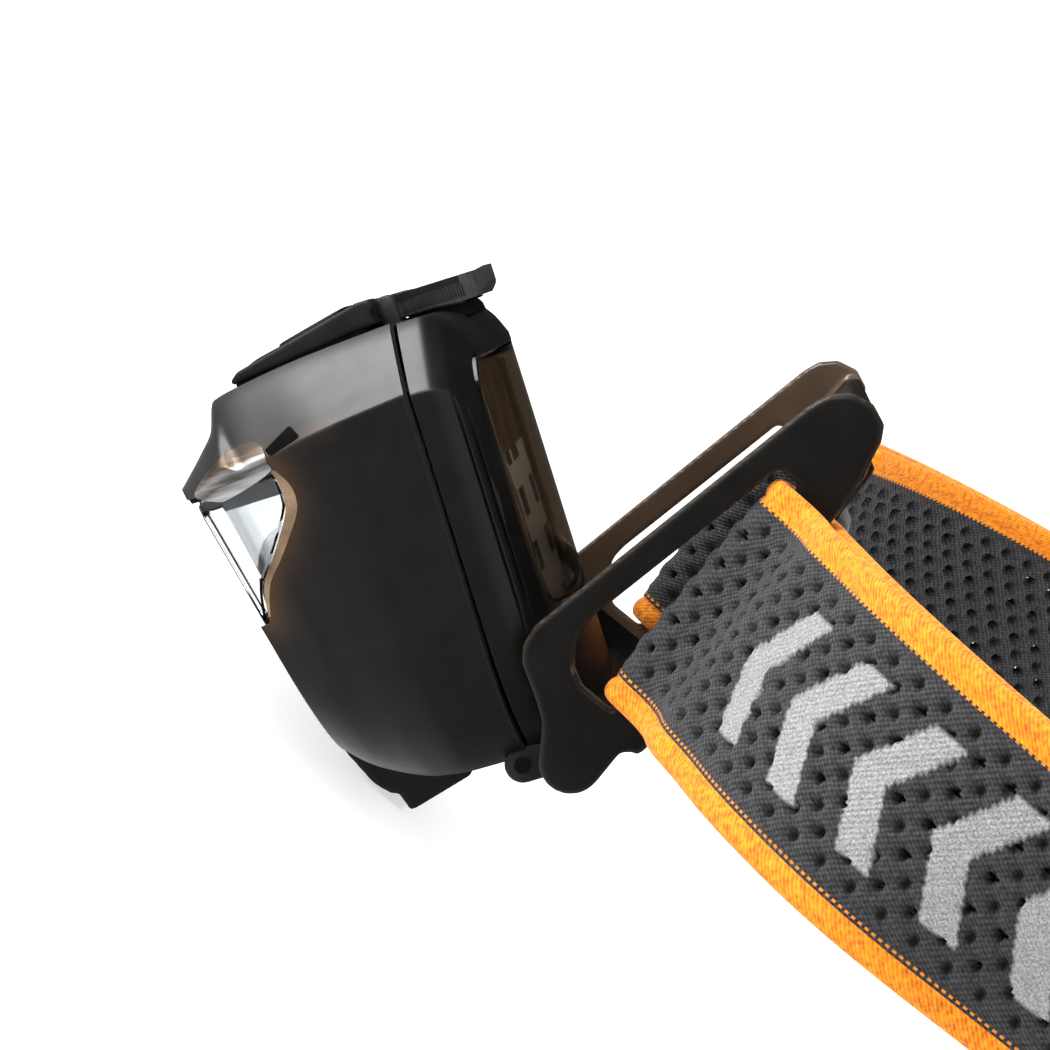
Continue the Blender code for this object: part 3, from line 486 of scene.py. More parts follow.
def turn_out(obj):
    """Turns a closed mesh's faces outwards."""
    shape = bmesh.new()
    shape.from_mesh(obj.data)
    bmesh.ops.recalc_face_normals(shape, faces=shape.faces)
    if shape.calc_volume(signed=True) < 0:
        bmesh.ops.reverse_faces(shape, faces=shape.faces)
    shape.to_mesh(obj.data)
    shape.free()


def apply_all(obj):
    """Applies an object's modifiers to its mesh."""
    bpy.context.view_layer.update()
    graph = bpy.context.evaluated_depsgraph_get()
    mesh = bpy.data.meshes.new_from_object(obj.evaluated_get(graph), depsgraph=graph)
    obj.modifiers.clear()
    obj.data = mesh


def cut_by(obj, tools, operation="DIFFERENCE"):
    for tool in tools:
        turn_out(tool)
        step = obj.modifiers.new(tool.name, "BOOLEAN")
        step.operation = operation
        step.solver = "EXACT"
        step.object = tool
    apply_all(obj)
    for tool in tools:
        bpy.data.objects.remove(tool, do_unlink=True)


def solid(*args, **settings):
    """A piece with its faces turned outwards."""
    obj = piece(*args, **settings)
    turn_out(obj)
    return obj


def loose(name, points, faces):
    """A closed mesh that rides on nothing yet: a cutter, or a body to be cut."""
    obj = linked(name, mesh_of(name, points, faces))
    turn_out(obj)
    return obj


def span(side, a, b):
    """From a to b out from the middle, on the left (1) or the right (-1), lowest first."""
    return sorted((side * a, side * b))


def side_prism(name, outline, low, high):
    """A closed prism across the lamp, its outline in (b, u) pairs."""
    return loose(name, [lamp(x, b, u) for x in (low, high) for b, u in outline], prism_faces(len(outline)))


def curve_through(points, steps=6, closed=True):
    """A smooth outline through a few points."""
    made = []
    count = len(points)
    for i in range(count if closed else count - 1):
        p0, p1 = points[i - 1] if closed or i else points[0], points[i]
        p2 = points[(i + 1) % count]
        p3 = points[(i + 2) % count] if closed else points[min(i + 2, count - 1)]
        for j in range(steps):
            t = j / steps
            made.append(
                tuple(
                    0.5 * (2 * b + (c - a) * t + (2 * a - 5 * b + 4 * c - d) * t * t + (3 * b - a - 3 * c + d) * t**3)
                    for a, b, c, d in zip(p0, p1, p2, p3)
                )
            )
    return made if closed else made + [points[-1]]


def rounded(points, radius, steps=5):
    """An outline with its corners rounded off."""
    made = []
    count = len(points)
    for i, corner in enumerate(points):
        corner = Vector(corner)
        before, after = Vector(points[i - 1]) - corner, Vector(points[(i + 1) % count]) - corner
        reach = min(radius, before.length * 0.45, after.length * 0.45)
        first, last = corner + before.normalized() * reach, corner + after.normalized() * reach
        for j in range(steps + 1):
            t = j / steps
            made.append(tuple(first * (1 - t) ** 2 + corner * 2 * t * (1 - t) + last * t * t))
    return made


def copied(node, name, flatten=False):
    """A welded copy of a CAD node's mesh, with its flat faces made whole if asked."""
    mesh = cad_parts[node].data.copy()
    mesh.materials.clear()
    shape = bmesh.new()
    shape.from_mesh(mesh)
    bmesh.ops.remove_doubles(shape, verts=shape.verts, dist=1e-6)
    if flatten:
        bmesh.ops.dissolve_limit(shape, angle_limit=math.radians(1.0), verts=shape.verts, edges=shape.edges)
    shape.to_mesh(mesh)
    shape.free()
    return linked(name, mesh)


def softened(node, name, material, body, voxel=0.3, rounds=6, angle=60.0):
    """A rounded-edge version of a CAD solid: its mesh remeshed finely and relaxed."""
    obj = copied(node, name)
    step = obj.modifiers.new("remesh", "REMESH")
    step.mode = "VOXEL"
    step.voxel_size = voxel * MM
    relax = obj.modifiers.new("relax", "SMOOTH")
    relax.factor = 0.5
    relax.iterations = rounds
    apply_all(obj)
    dress(obj, material)
    return finish_piece(obj, body, (node,), angle)


def crisp(node, name, material, body, edge):
    """The CAD solid with narrow bevels along its sharp edges."""
    obj = copied(node, name, flatten=True)
    step = obj.modifiers.new("bevel", "BEVEL")
    step.width = edge * MM
    step.segments = 2
    step.limit_method = "ANGLE"
    step.angle_limit = math.radians(28.0)
    apply_all(obj)
    dress(obj, material)
    return finish_piece(obj, body, (node,), 30.0)


# The lamp's two shells

SHARES = (0.0, 0.37, 0.60, 0.74, 0.80, 0.86, 0.93, 1.0)
BODY_ROWS = (
    (30.0, 0.0, 42.2, 11.0, 6.5, 6.5),
    (29.9, 0.1, 41.6, 11.0, 6.6, 6.8),
    (29.6, 0.6, 40.9, 11.0, 6.7, 7.0),
    (29.3, 1.5, 40.2, 11.0, 6.8, 6.8),
    (29.2, 2.1, 37.4, 10.8, 4.5, 3.4),
    (29.0, 2.8, 36.0, 10.4, 3.5, 2.4),
    (28.6, 3.9, 34.6, 10.0, 3.0, 2.0),
    (28.0, 5.6, 33.3, 9.0, 2.6, 1.8),
)
CASE_SHARES = (0.04, 0.35, 0.65, 0.85, 1.0)
CASE_ROWS = (
    (29.5, 0.1, 42.0, 11.0, 6.5, 6.5),
    (29.42, 0.1, 41.95, 11.0, 6.5, 6.5),
    (29.0, 0.4, 41.3, 11.0, 6.5, 6.5),
    (28.0, 1.4, 39.8, 10.5, 6.5, 6.5),
    (25.6, 3.6, 37.6, 9.5, 6.0, 5.5),
)


def at_share(shares, rows, share):
    """A row between the given ones, on smooth curves that never overshoot."""
    i = max(j for j in range(len(shares) - 1) if shares[j] <= share or j == 0)
    span = shares[i + 1] - shares[i]
    t = min(max((share - shares[i]) / span, 0.0), 1.0)
    row = []
    for column in range(len(rows[0])):
        value = [r[column] for r in rows]
        slopes = [(value[j + 1] - value[j]) / (shares[j + 1] - shares[j]) for j in range(len(shares) - 1)]

        def tangent(j):
            if j == 0 or j == len(shares) - 1:
                return slopes[max(j - 1, 0)]
            a, b = slopes[j - 1], slopes[j]
            return 0.0 if a * b <= 0 else 2 * a * b / (a + b)

        a, b = value[i], value[i + 1]
        h00, h10 = 2 * t**3 - 3 * t**2 + 1, t**3 - 2 * t**2 + t
        h01, h11 = -2 * t**3 + 3 * t**2, t**3 - t**2
        row.append(h00 * a + h10 * span * tangent(i) + h01 * b + h11 * span * tangent(i + 1))
    return tuple(row)


def face_fore(share, x, u):
    return share * (FACE_FOOT + FACE_LEAN * u) * (1 + FACE_BULGE * max(share, 0) * (1 - (x / LAMP_HALF) ** 2))


def rear_back(share, x, _u):
    return -share * REAR_DEPTH * (1 - REAR_FLAT * (x / LAMP_HALF) ** 2)


FLOOR_N, CORNER_N, SIDE_N, BEVEL_N, ROOF_N = 8, 10, 16, 7, 8
CREASE = 0.7


def loop(row, share, depth, groove=0.0):
    """One closed ring of (x, b, u), from the middle of the floor round by +x to the roof and back."""
    half, low, high, corner, bevel_x, bevel_u = row

    def sag(x):
        return FLOOR_BULGE * max(1 - (x / FLOOR_SPAN) ** 2, 0)

    right = []
    for i in range(FLOOR_N):
        x = (half - corner) * i / FLOOR_N
        right.append((x, low - sag(x)))
    for i in range(CORNER_N):
        turn = math.pi / 2 * i / CORNER_N
        x = half - corner + corner * math.sin(turn)
        right.append((x, low + corner - corner * math.cos(turn) - sag(x)))
    crease = min(CREASE, bevel_u * 0.3)
    top = high - bevel_u
    foot = low + corner
    for i in range(SIDE_N + 1):
        share_up = i / SIDE_N
        inset = groove * min(1.0, 6 * share_up, 6 * (1 - share_up))
        right.append((half - inset, foot + (top - 0.52 * crease - foot) * share_up))
    for turn in (0.21, 0.42, 0.63, 0.84):
        right.append((half - crease * (1 - math.cos(turn)), top - crease * (0.52 - math.sin(turn))))
    for i in range(1, BEVEL_N + 1):
        past = bevel_x * (1 - i / BEVEL_N)
        u = high - bevel_u * (past / bevel_x) ** 1.2
        right.append((half - bevel_x + past, u))
    for i in range(1, ROOF_N + 1):
        right.append(((half - bevel_x) * (1 - i / ROOF_N), high))
    left = [(-x, u) for x, u in right[1:-1]][::-1]
    return [(x, -depth(share, x, u), u) for x, u in right + left]


def skin(loops, closed=False):
    """Points and faces of a skin through rings with equal counts, its two ends capped unless closed."""
    count = len(loops[0])
    points = [lamp(*p) for ring in loops for p in ring]
    faces = []
    for i in range(len(loops) if closed else len(loops) - 1):
        faces += ring_quads(i * count, (i + 1) % len(loops) * count, count)
    if not closed:
        faces.append(tuple(range(count))[::-1])
        faces.append(tuple((len(loops) - 1) * count + j for j in range(count)))
    return points, faces


def resized(row, out, down):
    """A loop's row pushed out at its sides and roof, and down at its floor."""
    half, low, high, *shape = row
    return half + out, low - down, high + out, *shape


def blend_loops(a, b, steps):
    return [[tuple(p + (q - p) * s / steps for p, q in zip(u, v)) for u, v in zip(a, b)] for s in range(1, steps)]


def crowned(row, small_row, depth, shares):
    """A plate that follows the shell's curve: rings from the middle of one face round to the other's."""

    def outline(share):
        return loop(row, share, depth)

    def shrunk(share):
        return loop(small_row, share, depth)

    middle = sum(p[2] for p in outline(shares[0])) / len(outline(shares[0]))

    def inner(ring, share, scale):
        shrunk_ring = [(x * scale, middle + (u - middle) * scale) for x, _, u in ring]
        return [(x, -depth(share, x, u), u) for x, u in shrunk_ring]

    low, high = shares[0], shares[-1]
    scales = [i / 14 for i in range(1, 14)]
    loops = [inner(shrunk(low), low, s) for s in [0.02] + scales] + [shrunk(low)]
    loops += [outline(share) for share in shares[1:-1]]
    loops += [shrunk(high)] + [inner(shrunk(high), high, s) for s in scales[::-1] + [0.02]]
    return skin(loops)


def cylinder_tool(name, x, u, radius, b0, b1, steps=64):
    turns = [2 * math.pi * i / steps for i in range(steps)]
    ring = [(x + radius * math.cos(t), u + radius * math.sin(t)) for t in turns]
    return loose(name, [lamp(p, b, q) for b in (b0, b1) for p, q in ring], prism_faces(steps))


def make_housing():
    inner = (28.3, 2.84, 40.4, 9.0, 6.0, 6.0)
    opening = (27.4, 9.6, 31.6, 7.0, 1.5, 1.0)
    chamber = (26.2, 11.3, 30.6, 6.0, 1.5, 1.0)
    coarse, fine = [i / 30 * 0.70 for i in range(31)], [0.70 + i * 0.01 for i in range(1, 31)]
    body = sorted({round(s, 4) for s in coarse + fine})
    loops = [loop(inner, 0.3, face_fore), loop(inner, 0.02, face_fore)]
    first = at_share(SHARES, BODY_ROWS, 0.0)
    loops.append(loop(resized(first, -0.35, -0.3), 0.0, face_fore))
    loops += [loop(at_share(SHARES, BODY_ROWS, max(s, 0.012)), max(s, 0.012), face_fore) for s in body]
    rim = loop(at_share(SHARES, BODY_ROWS, 1.0), 1.0, face_fore)
    lip = loop(opening, 1.0, face_fore)
    pairs = list(zip(rim, lip))
    round_over = [(p[0] + (q[0] - p[0]) * 0.06, p[1] - 0.12, p[2] + (q[2] - p[2]) * 0.06) for p, q in pairs]
    loops.append(round_over)
    loops += blend_loops(round_over, lip, 5) + [lip]
    loops += [loop(opening, 0.99, face_fore), loop(opening, 0.90, face_fore)]
    loops += [loop(chamber, 0.885, face_fore), loop(chamber, 0.62, face_fore)]
    points, faces = skin(loops)
    obj = loose("housing_shell", points, faces)
    window = [(-13.9, 32.2), (-13.8, 29.8), (-14.2, 28.2), (-16.3, 25.0), (-18.1, 22.6), (-18.8, 18.9)]
    smooth_side = curve_through(window, 8, closed=False) + [(-26.0, 18.6), (-26.0, 32.1)]
    tools = [side_prism(f"window_{s}", smooth_side, *span(s, 25.6, 31.0)) for s in (-1, 1)]
    tools += [cylinder_tool(f"bowl_{s}", s * BEAM_X, BEAM_U, 9.75, -15.5, -5.0) for s in (-1, 1)]
    cut_by(obj, tools)
    obj.data.materials.append(SMOKED)
    mark_glow(obj)
    finish_piece(obj, "front_housing", ("front_housing",), 32.0)


# Lines near which the housing gets its painted glow.
GLOW_LINE = [
    (-14.2, 32.6), (-13.8, 31.2), (-13.8, 29.8), (-14.2, 28.2), (-16.3, 25.0), (-18.1, 22.6), (-18.7, 19.6)
]
GLOW_CREASE = [(-13.4, 34.0), (-12.4, 34.6), (-11.0, 35.0), (-9.5, 35.2), (-8.0, 35.3)]


def mark_glow(obj):
    """Marks where the colour gets a painted glow for the light the side wall passes: most by the side window, a
    little under the crease.
    """
    edge, crease = curve_through(GLOW_LINE, 6, closed=False), curve_through(GLOW_CREASE, 4, closed=False)
    values = []
    for vertex in obj.data.vertices:
        x, y, z = vertex.co / MM
        b = TILT_B + (y - TILT_Y) * TILT_COS + (z - TILT_Z) * TILT_SIN
        u = TILT_U - (y - TILT_Y) * TILT_SIN + (z - TILT_Z) * TILT_COS
        strong = math.exp(-((min(math.hypot(b - p, u - q) for p, q in edge) / 1.5) ** 1.4))
        weak = 0.5 * math.exp(-((min(math.hypot(b - p, u - q) for p, q in crease) / 0.8) ** 2))
        values.append(max(strong, weak) if abs(x) > 28.0 and u < 35.6 else 0.0)
    obj.data.attributes.new("glow", "FLOAT", "POINT").data.foreach_set("value", values)


def make_brow():
    """Clear, mirror-backed crescent with a painted reflection, let into each side of the brow."""
    outline = [
        (-21.9, 32.5), (-19.1, 34.7), (-16.6, 35.6), (-14.6, 35.2), (-14.3, 33.4), (-14.4, 32.4), (-18.5, 31.2)
    ]
    outline = curve_through(outline + [(-20.2, 31.3)], 6)
    edge = [(-14.3, 32.6), *GLOW_LINE[1:-1], (-18.7, 19.6)]
    widths = (0.5, 0.9, 1.1, 1.0, 0.75, 0.55, 0.2)
    outer = [(b + w, u - w * 0.35) for (b, u), w in zip(edge, widths)]
    strip = curve_through(edge, 6, closed=False) + curve_through(outer, 6, closed=False)[::-1]
    shares = [0.5 + 0.02 * i for i in range(26)]
    rows = [at_share(SHARES, BODY_ROWS, share) for share in shares]

    def inlaid(name, flat, deep, side, proud, material):
        """A side prism trimmed to stand a little proud of the shell."""
        obj = side_prism(name, flat, *span(side, deep, 31.0))
        grown = [loop(resized(row, proud, proud), share, face_fore) for row, share in zip(rows, shares)]
        bound = loose("bound", *skin(grown))
        cut_by(obj, [bound], "INTERSECT")
        dress(obj, material)
        finish_piece(obj, "front_housing", angle=40.0)

    for side, tag in ((1, "left"), (-1, "right")):
        inlaid(f"brow_crescent_{tag}", outline, 26.8, side, 0.13, BROW)
        # Tan strip of painted light along the side window's edge.
        inlaid(f"window_rim_{tag}", strip, 27.4, side, 0.05, EDGE_GLOW)


def make_case():
    window = (24.4, 13.2, 36.8, 3.0, 2.0, 2.0)
    shares = [0.036 + i * 0.03 for i in range(20)] + [0.62 + i * 0.0125 for i in range(1, 31)]
    loops = [loop((27.9, 2.4, 40.4, 9.5, 6.0, 6.0), 0.06, rear_back)]
    start = at_share(CASE_SHARES, CASE_ROWS, 0.04)
    loops.append(loop(resized(start, -0.35, -0.3), 0.036, rear_back))
    for share in shares:
        groove = 0.0
        for centre in (0.70, 0.82):
            groove = max(groove, 0.45 * max(0.0, 1 - ((share - centre) / 0.022) ** 2))
        share = min(max(share, 0.05), 1.0)
        loops.append(loop(at_share(CASE_SHARES, CASE_ROWS, share), share, rear_back, groove))
    lip = loop(window, 1.0, rear_back)
    loops += blend_loops(loops[-1], lip, 5)
    loops += [lip, loop(window, 0.98, rear_back), loop(window, 0.80, rear_back)]
    loops.append(loop((25.6, 4.2, 37.8, 9.0, 6.0, 5.5), 0.78, rear_back))
    loops.append(loop((27.4, 2.6, 39.8, 9.5, 6.0, 6.0), 0.6, rear_back))
    return skin(loops, closed=True)


def arc(b0, u0, radius, start, end, steps):
    turns = [math.radians(start + (end - start) * i / steps) for i in range(steps + 1)]
    return [(b0 + radius * math.cos(t), u0 + radius * math.sin(t)) for t in turns]


def bevelled_prism(outline, low, high, edge=0.3):
    """A prism across the lamp with its end edges rounded."""
    count = len(outline)
    centre = Vector((sum(p[0] for p in outline) / count, sum(p[1] for p in outline) / count))
    rows = [(low, edge), (low + edge * 0.3, edge * 0.3), (low + edge, 0.0), (high - edge, 0.0)]
    rows += [(high - edge * 0.3, edge * 0.3), (high, edge)]
    points = []
    for x, inset in rows:
        for b, u in outline:
            away = Vector((b, u)) - centre
            shrink = max(0.0, 1 - inset / max(away.length, 0.01))
            points.append(lamp(x, *(centre + away * shrink)))
    faces = [tuple(range(count))[::-1], tuple(range(len(points) - count, len(points)))]
    for i in range(len(rows) - 1):
        faces += ring_quads(i * count, (i + 1) * count, count)
    return points, faces


def merged(parts):
    points, faces = [], []
    for some, more in parts:
        base = len(points)
        points += some
        faces += [tuple(base + i for i in face) for face in more]
    return points, faces


def build_lamp_shells():
    make_housing()
    parts = [make_case()]
    barrel = arc(TILT_B, TILT_U, 2.9, 0, 350, 35)
    parts.append(bevelled_prism(barrel, -28.8, 28.8, 0.5))
    boss = arc(TILT_B, TILT_U, 2.5, 0, 350, 35)
    parts += [bevelled_prism(boss, *span(side, 28.5, 29.6), 0.2) for side in (1, -1)]
    for side in (-1, 1):
        arm = arc(DOOR_B, DOOR_U, DOOR_R, 110, 270, 12) + [(4.6, -3.05), (4.6, -0.6), (0.6, 0.45)]
        parts.append(bevelled_prism(arm, *span(side, 18.4, 22.6), 0.35))
    solid("case_shell", *merged(parts), SMOKED, "rear_case", ("rear_case",), "smoked_plastic", 32.0)
    knuckles, tabs = [], []
    for side in (-1, 1):
        outline = arc(DOOR_B, DOOR_U, DOOR_R, 180, 360, 14) + [(-0.15, 0.9), (-2.6, 0.9)]
        knuckles.append(bevelled_prism(outline, *span(side, 13.6, 18.0), 0.35))
        ear = [(-0.35, 41.6), (-0.35, 44.4), (-0.8, 44.9), (-1.7, 44.9), (-2.1, 44.5), (-2.1, 41.6)]
        knuckles.append(bevelled_prism(rounded(ear, 0.5), *span(side, 10.9, 13.0), 0.25))
        tab = [(-14.2, 34.5), (-11.4, 36.0), (-10.7, 34.8), (-13.5, 33.4)]
        tabs.append(bevelled_prism(rounded(tab, 0.2), *span(side, 26.8, 29.55), 0.1))
    solid("housing_hinge_parts", *merged(knuckles), INNER, "front_housing", slot="smoked_plastic")
    skirt = [(-16.6, 40.0), (-16.6, 41.15), (-3.2, 42.75), (-3.0, 40.9)]
    tabs.append(bevelled_prism(skirt, -18.7, 18.7, 0.2))
    solid("housing_dark_trim", *merged(tabs), MATTE, "front_housing", slot="button_rubber")
    ledge = [(0.4, 41.4), (0.45, 42.3), (3.0, 42.3), (5.5, 42.05), (5.9, 41.4), (6.0, 40.6)]
    catch = bevelled_prism(rounded(ledge, 0.2), -9.4, 9.4, 0.2)
    solid("case_catch", *catch, MATTE, "rear_case", slot="smoked_plastic")


def make_lens():
    """Wrap-round lens: a crowned plate and a side pane at each end, in one clear piece."""
    plate = (27.1, 9.9, 31.3, 7.0, 1.5, 1.0)
    shrunk = (26.9, 10.1, 31.1, 6.9, 1.5, 1.0)
    lens = loose("front_lens_clear", *crowned(plate, shrunk, face_fore, (0.885, 0.892, 0.978, 0.985)))
    edge = [(-14.3, 31.8), (-14.2, 29.9), (-14.6, 28.4), (-16.7, 25.2), (-18.5, 22.8), (-19.2, 19.3)]
    outline = curve_through(edge, 8, closed=False) + [(-21.6, 19.1), (-21.6, 31.7)]
    flaps = []
    for side in (-1, 1):
        flap = side_prism(f"flap_{side}", outline, *span(side, 26.6, 29.6))
        trim = (28.75, 1.4, 41.0, 9.0, 6.0, 6.0)
        bound = loose(f"bound_{side}", *skin([loop(trim, s, face_fore) for s in (0.5, 0.7, 0.85, 0.975)]))
        cut_by(flap, [bound], "INTERSECT")
        flaps.append(flap)
    cut_by(lens, flaps, "UNION")
    dress(lens, CLEAR)
    finish_piece(lens, "front_housing", ("front_lens",), 30.0)


def make_rear_pane():
    """Smoked pane that follows the rear case's curve."""
    pane, shrunk = (24.1, 13.5, 36.5, 2.8, 2.0, 2.0), (23.9, 13.7, 36.3, 2.7, 2.0, 2.0)
    shape = crowned(pane, shrunk, rear_back, (0.84, 0.86, 0.97, 0.99))
    solid("rear_pane", *shape, WINDOW, "rear_case", ("rear_window",), "smoked_window", 50.0)


BOWL_R, BOWL_FOOT, BOWL_DEEP = 9.3, -5.8, 8.8
CHIP_R, CHIP_N, CHIP_RINGS = 1.25, 24, 8


def round_beam(side, r, turn, b):
    """A point round a beam's axis."""
    return lamp(side * BEAM_X + r * math.cos(turn), b, BEAM_U + r * math.sin(turn))


def make_bowl(side, name, throat):
    """Parabolic bowl with a rolled lip; the flood's is gently fluted."""
    profile = []
    for i in range(19):
        radius = throat + (BOWL_R - throat) * i / 18
        share = (radius**2 - throat**2) / (BOWL_R**2 - throat**2)
        profile.append((radius, BOWL_FOOT - BOWL_DEEP * share))
    profile += [(9.65, -14.75), (9.72, -14.3), (9.55, -13.6)]
    profile += [(r + 0.55, b + 0.6) for r, b in profile[16:1:-3]] + [(throat + 0.6, BOWL_FOOT)]
    count, steps = len(profile), 72
    points, faces = [], []
    for i in range(steps):
        turn = 2 * math.pi * i / steps
        for r, b in profile:
            flute = 0.06 * math.cos(12 * turn) * (r - throat) / BOWL_R if side < 0 else 0.0
            points.append(round_beam(side, r + flute, turn, b))
        faces += ring_quads(i * count, (i + 1) % steps * count, count)
    solid(f"{name}_bowl", points, faces, CHROME, "front_housing", (f"{name}_reflector",), "reflector_chrome")


def make_chip(side, name):
    """Light chip: a square base under a squarish phosphor dome."""
    chip, dome = [], []
    for i in range(CHIP_RINGS + 1):
        lift = math.pi / 2 * i / CHIP_RINGS
        for j in range(CHIP_N):
            turn = 2 * math.pi * j / CHIP_N
            square = 1.0 / max(abs(math.cos(turn)), abs(math.sin(turn))) ** 0.6
            chip.append(round_beam(side, CHIP_R * math.cos(lift) * square, turn, -6.3 - 0.6 * math.sin(lift)))
    for i in range(CHIP_RINGS):
        dome += ring_quads(i * CHIP_N, (i + 1) * CHIP_N, CHIP_N)
    dome.append(tuple(range(CHIP_N)))
    corners = ((-1.5, -1.5), (1.5, -1.5), (1.5, 1.5), (-1.5, 1.5))
    base = rounded([(side * BEAM_X + x, BEAM_U + u) for x, u in corners], 0.4)
    case = [lamp(x, b, u) for b in (-5.7, -6.35) for x, u in base]
    shape = merged([(case, prism_faces(len(base))), (chip, dome)])
    solid(f"{name}_led_chip", *shape, PHOSPHOR, "front_housing", (f"{name}_led",), "led_phosphor")


def build_optics():
    for side, name, throat in ((1, "spot", 2.4), (-1, "flood", 3.4)):
        make_bowl(side, name, throat)
        make_chip(side, name)


build_lamp_shells()
make_brow()
make_lens()
make_rear_pane()
build_optics()

for material, nodes in (
    (BLACKENED, ("tilt_pin", "door_pin", "latch_pin")),
    (STEEL, ("tilt_washer_left", "tilt_washer_right", "usb_socket", "spot_switch", "flood_switch")),
    (STEEL, [f"tray_screw_{side}_{level}" for side in ("left", "right") for level in ("low", "high")]),
    (BRASS, ("battery_contact_plus", "battery_contact_minus")),
    (ALUMINIUM, ("led_board",)), (BOARD, ("main_board", "switch_board")), (INNER, ("battery_tray",)),
    (RUBBER, ("case_seal",)), (WRAP, ("battery_pack",)), (LABEL, ("battery_label",)),
):
    for node in nodes:
        dress(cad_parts[node], material)

# Frame, soft parts and small parts


def make_yoke():
    """The frame, with a painted-light copy of its plastic on the wings' inner faces and rims: lighter brown and part
    see-through, for the light passing through them.
    """
    yoke = softened("frame", "yoke", FRAME_DARK, "frame", 0.26, 5)
    yoke.data.materials.append(GLOW)
    for face in yoke.data.polygons:
        place = face.center / MM
        # Inward-facing wing faces take the painted-light copy of the frame plastic.
        if abs(place.x) > WING_IN - 0.6 and place.x * face.normal.x < 0.35 * abs(place.x) and place.z > -14.5:
            face.material_index = 1


make_yoke()

for node in ("band_slider_left", "band_slider_right"):
    softened(node, f"{node}_moulded", RUBBER, node, 0.3, 5)
softened("usb_cover", "usb_cover_moulded", RUBBER, "usb_cover", 0.22, 5)
for node in ("spot_button", "flood_button"):
    softened(node, f"{node}_moulded", RUBBER, node, 0.16, 5)


def make_button_pad():
    """Rubber pad with grip ridges at its ends and middle."""
    softened("button_pad", "button_pad_moulded", RUBBER, "front_housing", 0.22, 5)
    ridges = []
    for x in (-18.2, -17.0, 17.0, 18.2):
        ridge = [
            (-16.3, 41.9), (-14.0, 42.75), (-9.0, 43.75), (-3.9, 44.85), (-3.4, 44.6), (-9.0, 43.1), (-16.3, 41.5)
        ]
        ridges.append(bevelled_prism(rounded(ridge, 0.5, 3), x - 0.32, x + 0.32, 0.2))
    for x in (-2.4, -1.2, 0.0, 1.2, 2.4):
        ridge = [(-15.5, 42.2), (-14.0, 42.85), (-4.2, 45.1), (-3.7, 44.8), (-9.0, 43.3), (-15.5, 41.7)]
        ridges.append(bevelled_prism(rounded(ridge, 0.5, 3), x - 0.28, x + 0.28, 0.2))
    solid("button_pad_ridges", *merged(ridges), RUBBER, "front_housing", slot="button_rubber")


def make_latch():
    """Hasp over the top: hatched plate with fine ribs between a lip and a skirt down each side."""
    crisp("latch", "latch_moulded", HATCHED, "latch", 0.12)
    ribs = []
    for side in (-1, 1):
        for i in range(24):
            b = 0.1 + i * 0.26
            rib = [(b - 0.06, 42.6), (b + 0.06, 42.6), (b + 0.06, 43.85), (b - 0.06, 43.85)]
            ribs.append(bevelled_prism(rib, *span(side, 10.2, 10.56), 0.03))
        skirt = [(-1.5, 42.6), (-1.5, 42.3), (3.0, 42.22), (5.6, 41.95), (6.0, 42.0), (6.0, 42.6)]
        ribs.append(bevelled_prism(skirt, *span(side, 9.9, 10.3), 0.03))
        lip = [(-1.0, 44.0), (6.0, 44.0), (6.0, 44.66), (-1.0, 44.66)]
        ribs.append(bevelled_prism(lip, *span(side, 10.2, 10.72), 0.08))
    solid("latch_ribs", *merged(ribs), RUBBER, "latch", slot="smoked_plastic")


def hatched():
    """Dark plastic with a cross-hatched grip pattern."""
    made = new_material("latch_hatched", Specular_IOR_Level=0.4)
    g = Graph(made)
    across, back, _ = g.split(g.lamp_place())
    one = g.wave(g.math("ADD", across, back), 6500.0)
    two = g.wave(g.math("SUBTRACT", across, back), 6500.0)
    g.set("Base Color", g.ramp(g.noise(300.0), [(0.3, (0.030, 0.028, 0.026)), (0.7, (0.062, 0.058, 0.054))]))
    g.set("Roughness", g.spread(g.noise(700.0), 0.32, 0.5))
    g.bump(g.math("MAXIMUM", one, two), 0.00005, 0.5)
    return made


HATCHED = hatched()
make_button_pad()
make_latch()


def make_forehead_pad():
    """Crowned foam pad: rounded corners, sides that pull in a little, and two sewn vent channels."""
    columns, rows = 88, 46
    half_x, half_z, middle_z, front, crown = 26.0, 13.4, 0.5, -2.48, 2.2
    points, faces = [], []
    for layer in (0, 1):
        for i in range(rows + 1):
            for j in range(columns + 1):
                s, t = 2 * j / columns - 1, 2 * i / rows - 1
                x = s * math.sqrt(1 - 0.5 * t**10 * 0.16) * (1 - 0.015 * (1 - t * t))
                z = t * math.sqrt(1 - 0.5 * s**10 * 0.30) * (1 - 0.03 * (1 - s * s))
                edge = (1 - abs(s) ** 14) * (1 - abs(t) ** 8)
                bulge = max(edge, 0.0) ** 0.42
                for groove in (-0.38, 0.38):
                    bulge *= 1 - 0.34 * math.exp(-(((s - groove) / 0.028) ** 2)) * min(1.0, 2.2 * (1 - abs(t)))
                rise = 0.28 + crown * bulge * (0.86 + 0.14 * (1 - s * s) * (1 - t * t))
                y = front if layer == 0 else front + rise
                points.append((x * half_x, y, middle_z + z * half_z))
    wide = columns + 1
    size = wide * (rows + 1)
    for layer in (0, 1):
        for i in range(rows):
            for j in range(columns):
                a = layer * size + i * wide + j
                quad = (a, a + 1, a + wide + 1, a + wide)
                faces.append(quad if layer else quad[::-1])
    ring = list(range(columns)) + [i * wide + columns for i in range(rows)]
    ring += [rows * wide + columns - j for j in range(columns)] + [(rows - i) * wide for i in range(rows)]
    count = len(ring)
    for k in range(count):
        a, b = ring[k], ring[(k + 1) % count]
        faces.append((a, b, b + size, a + size))
    pad = solid("forehead_cushion", points, faces, CLOTH, "frame", ("forehead_pad",), "pad_foam", 60.0)


make_forehead_pad()

# Headband: the same path as the solid's, on a fine knitted grid

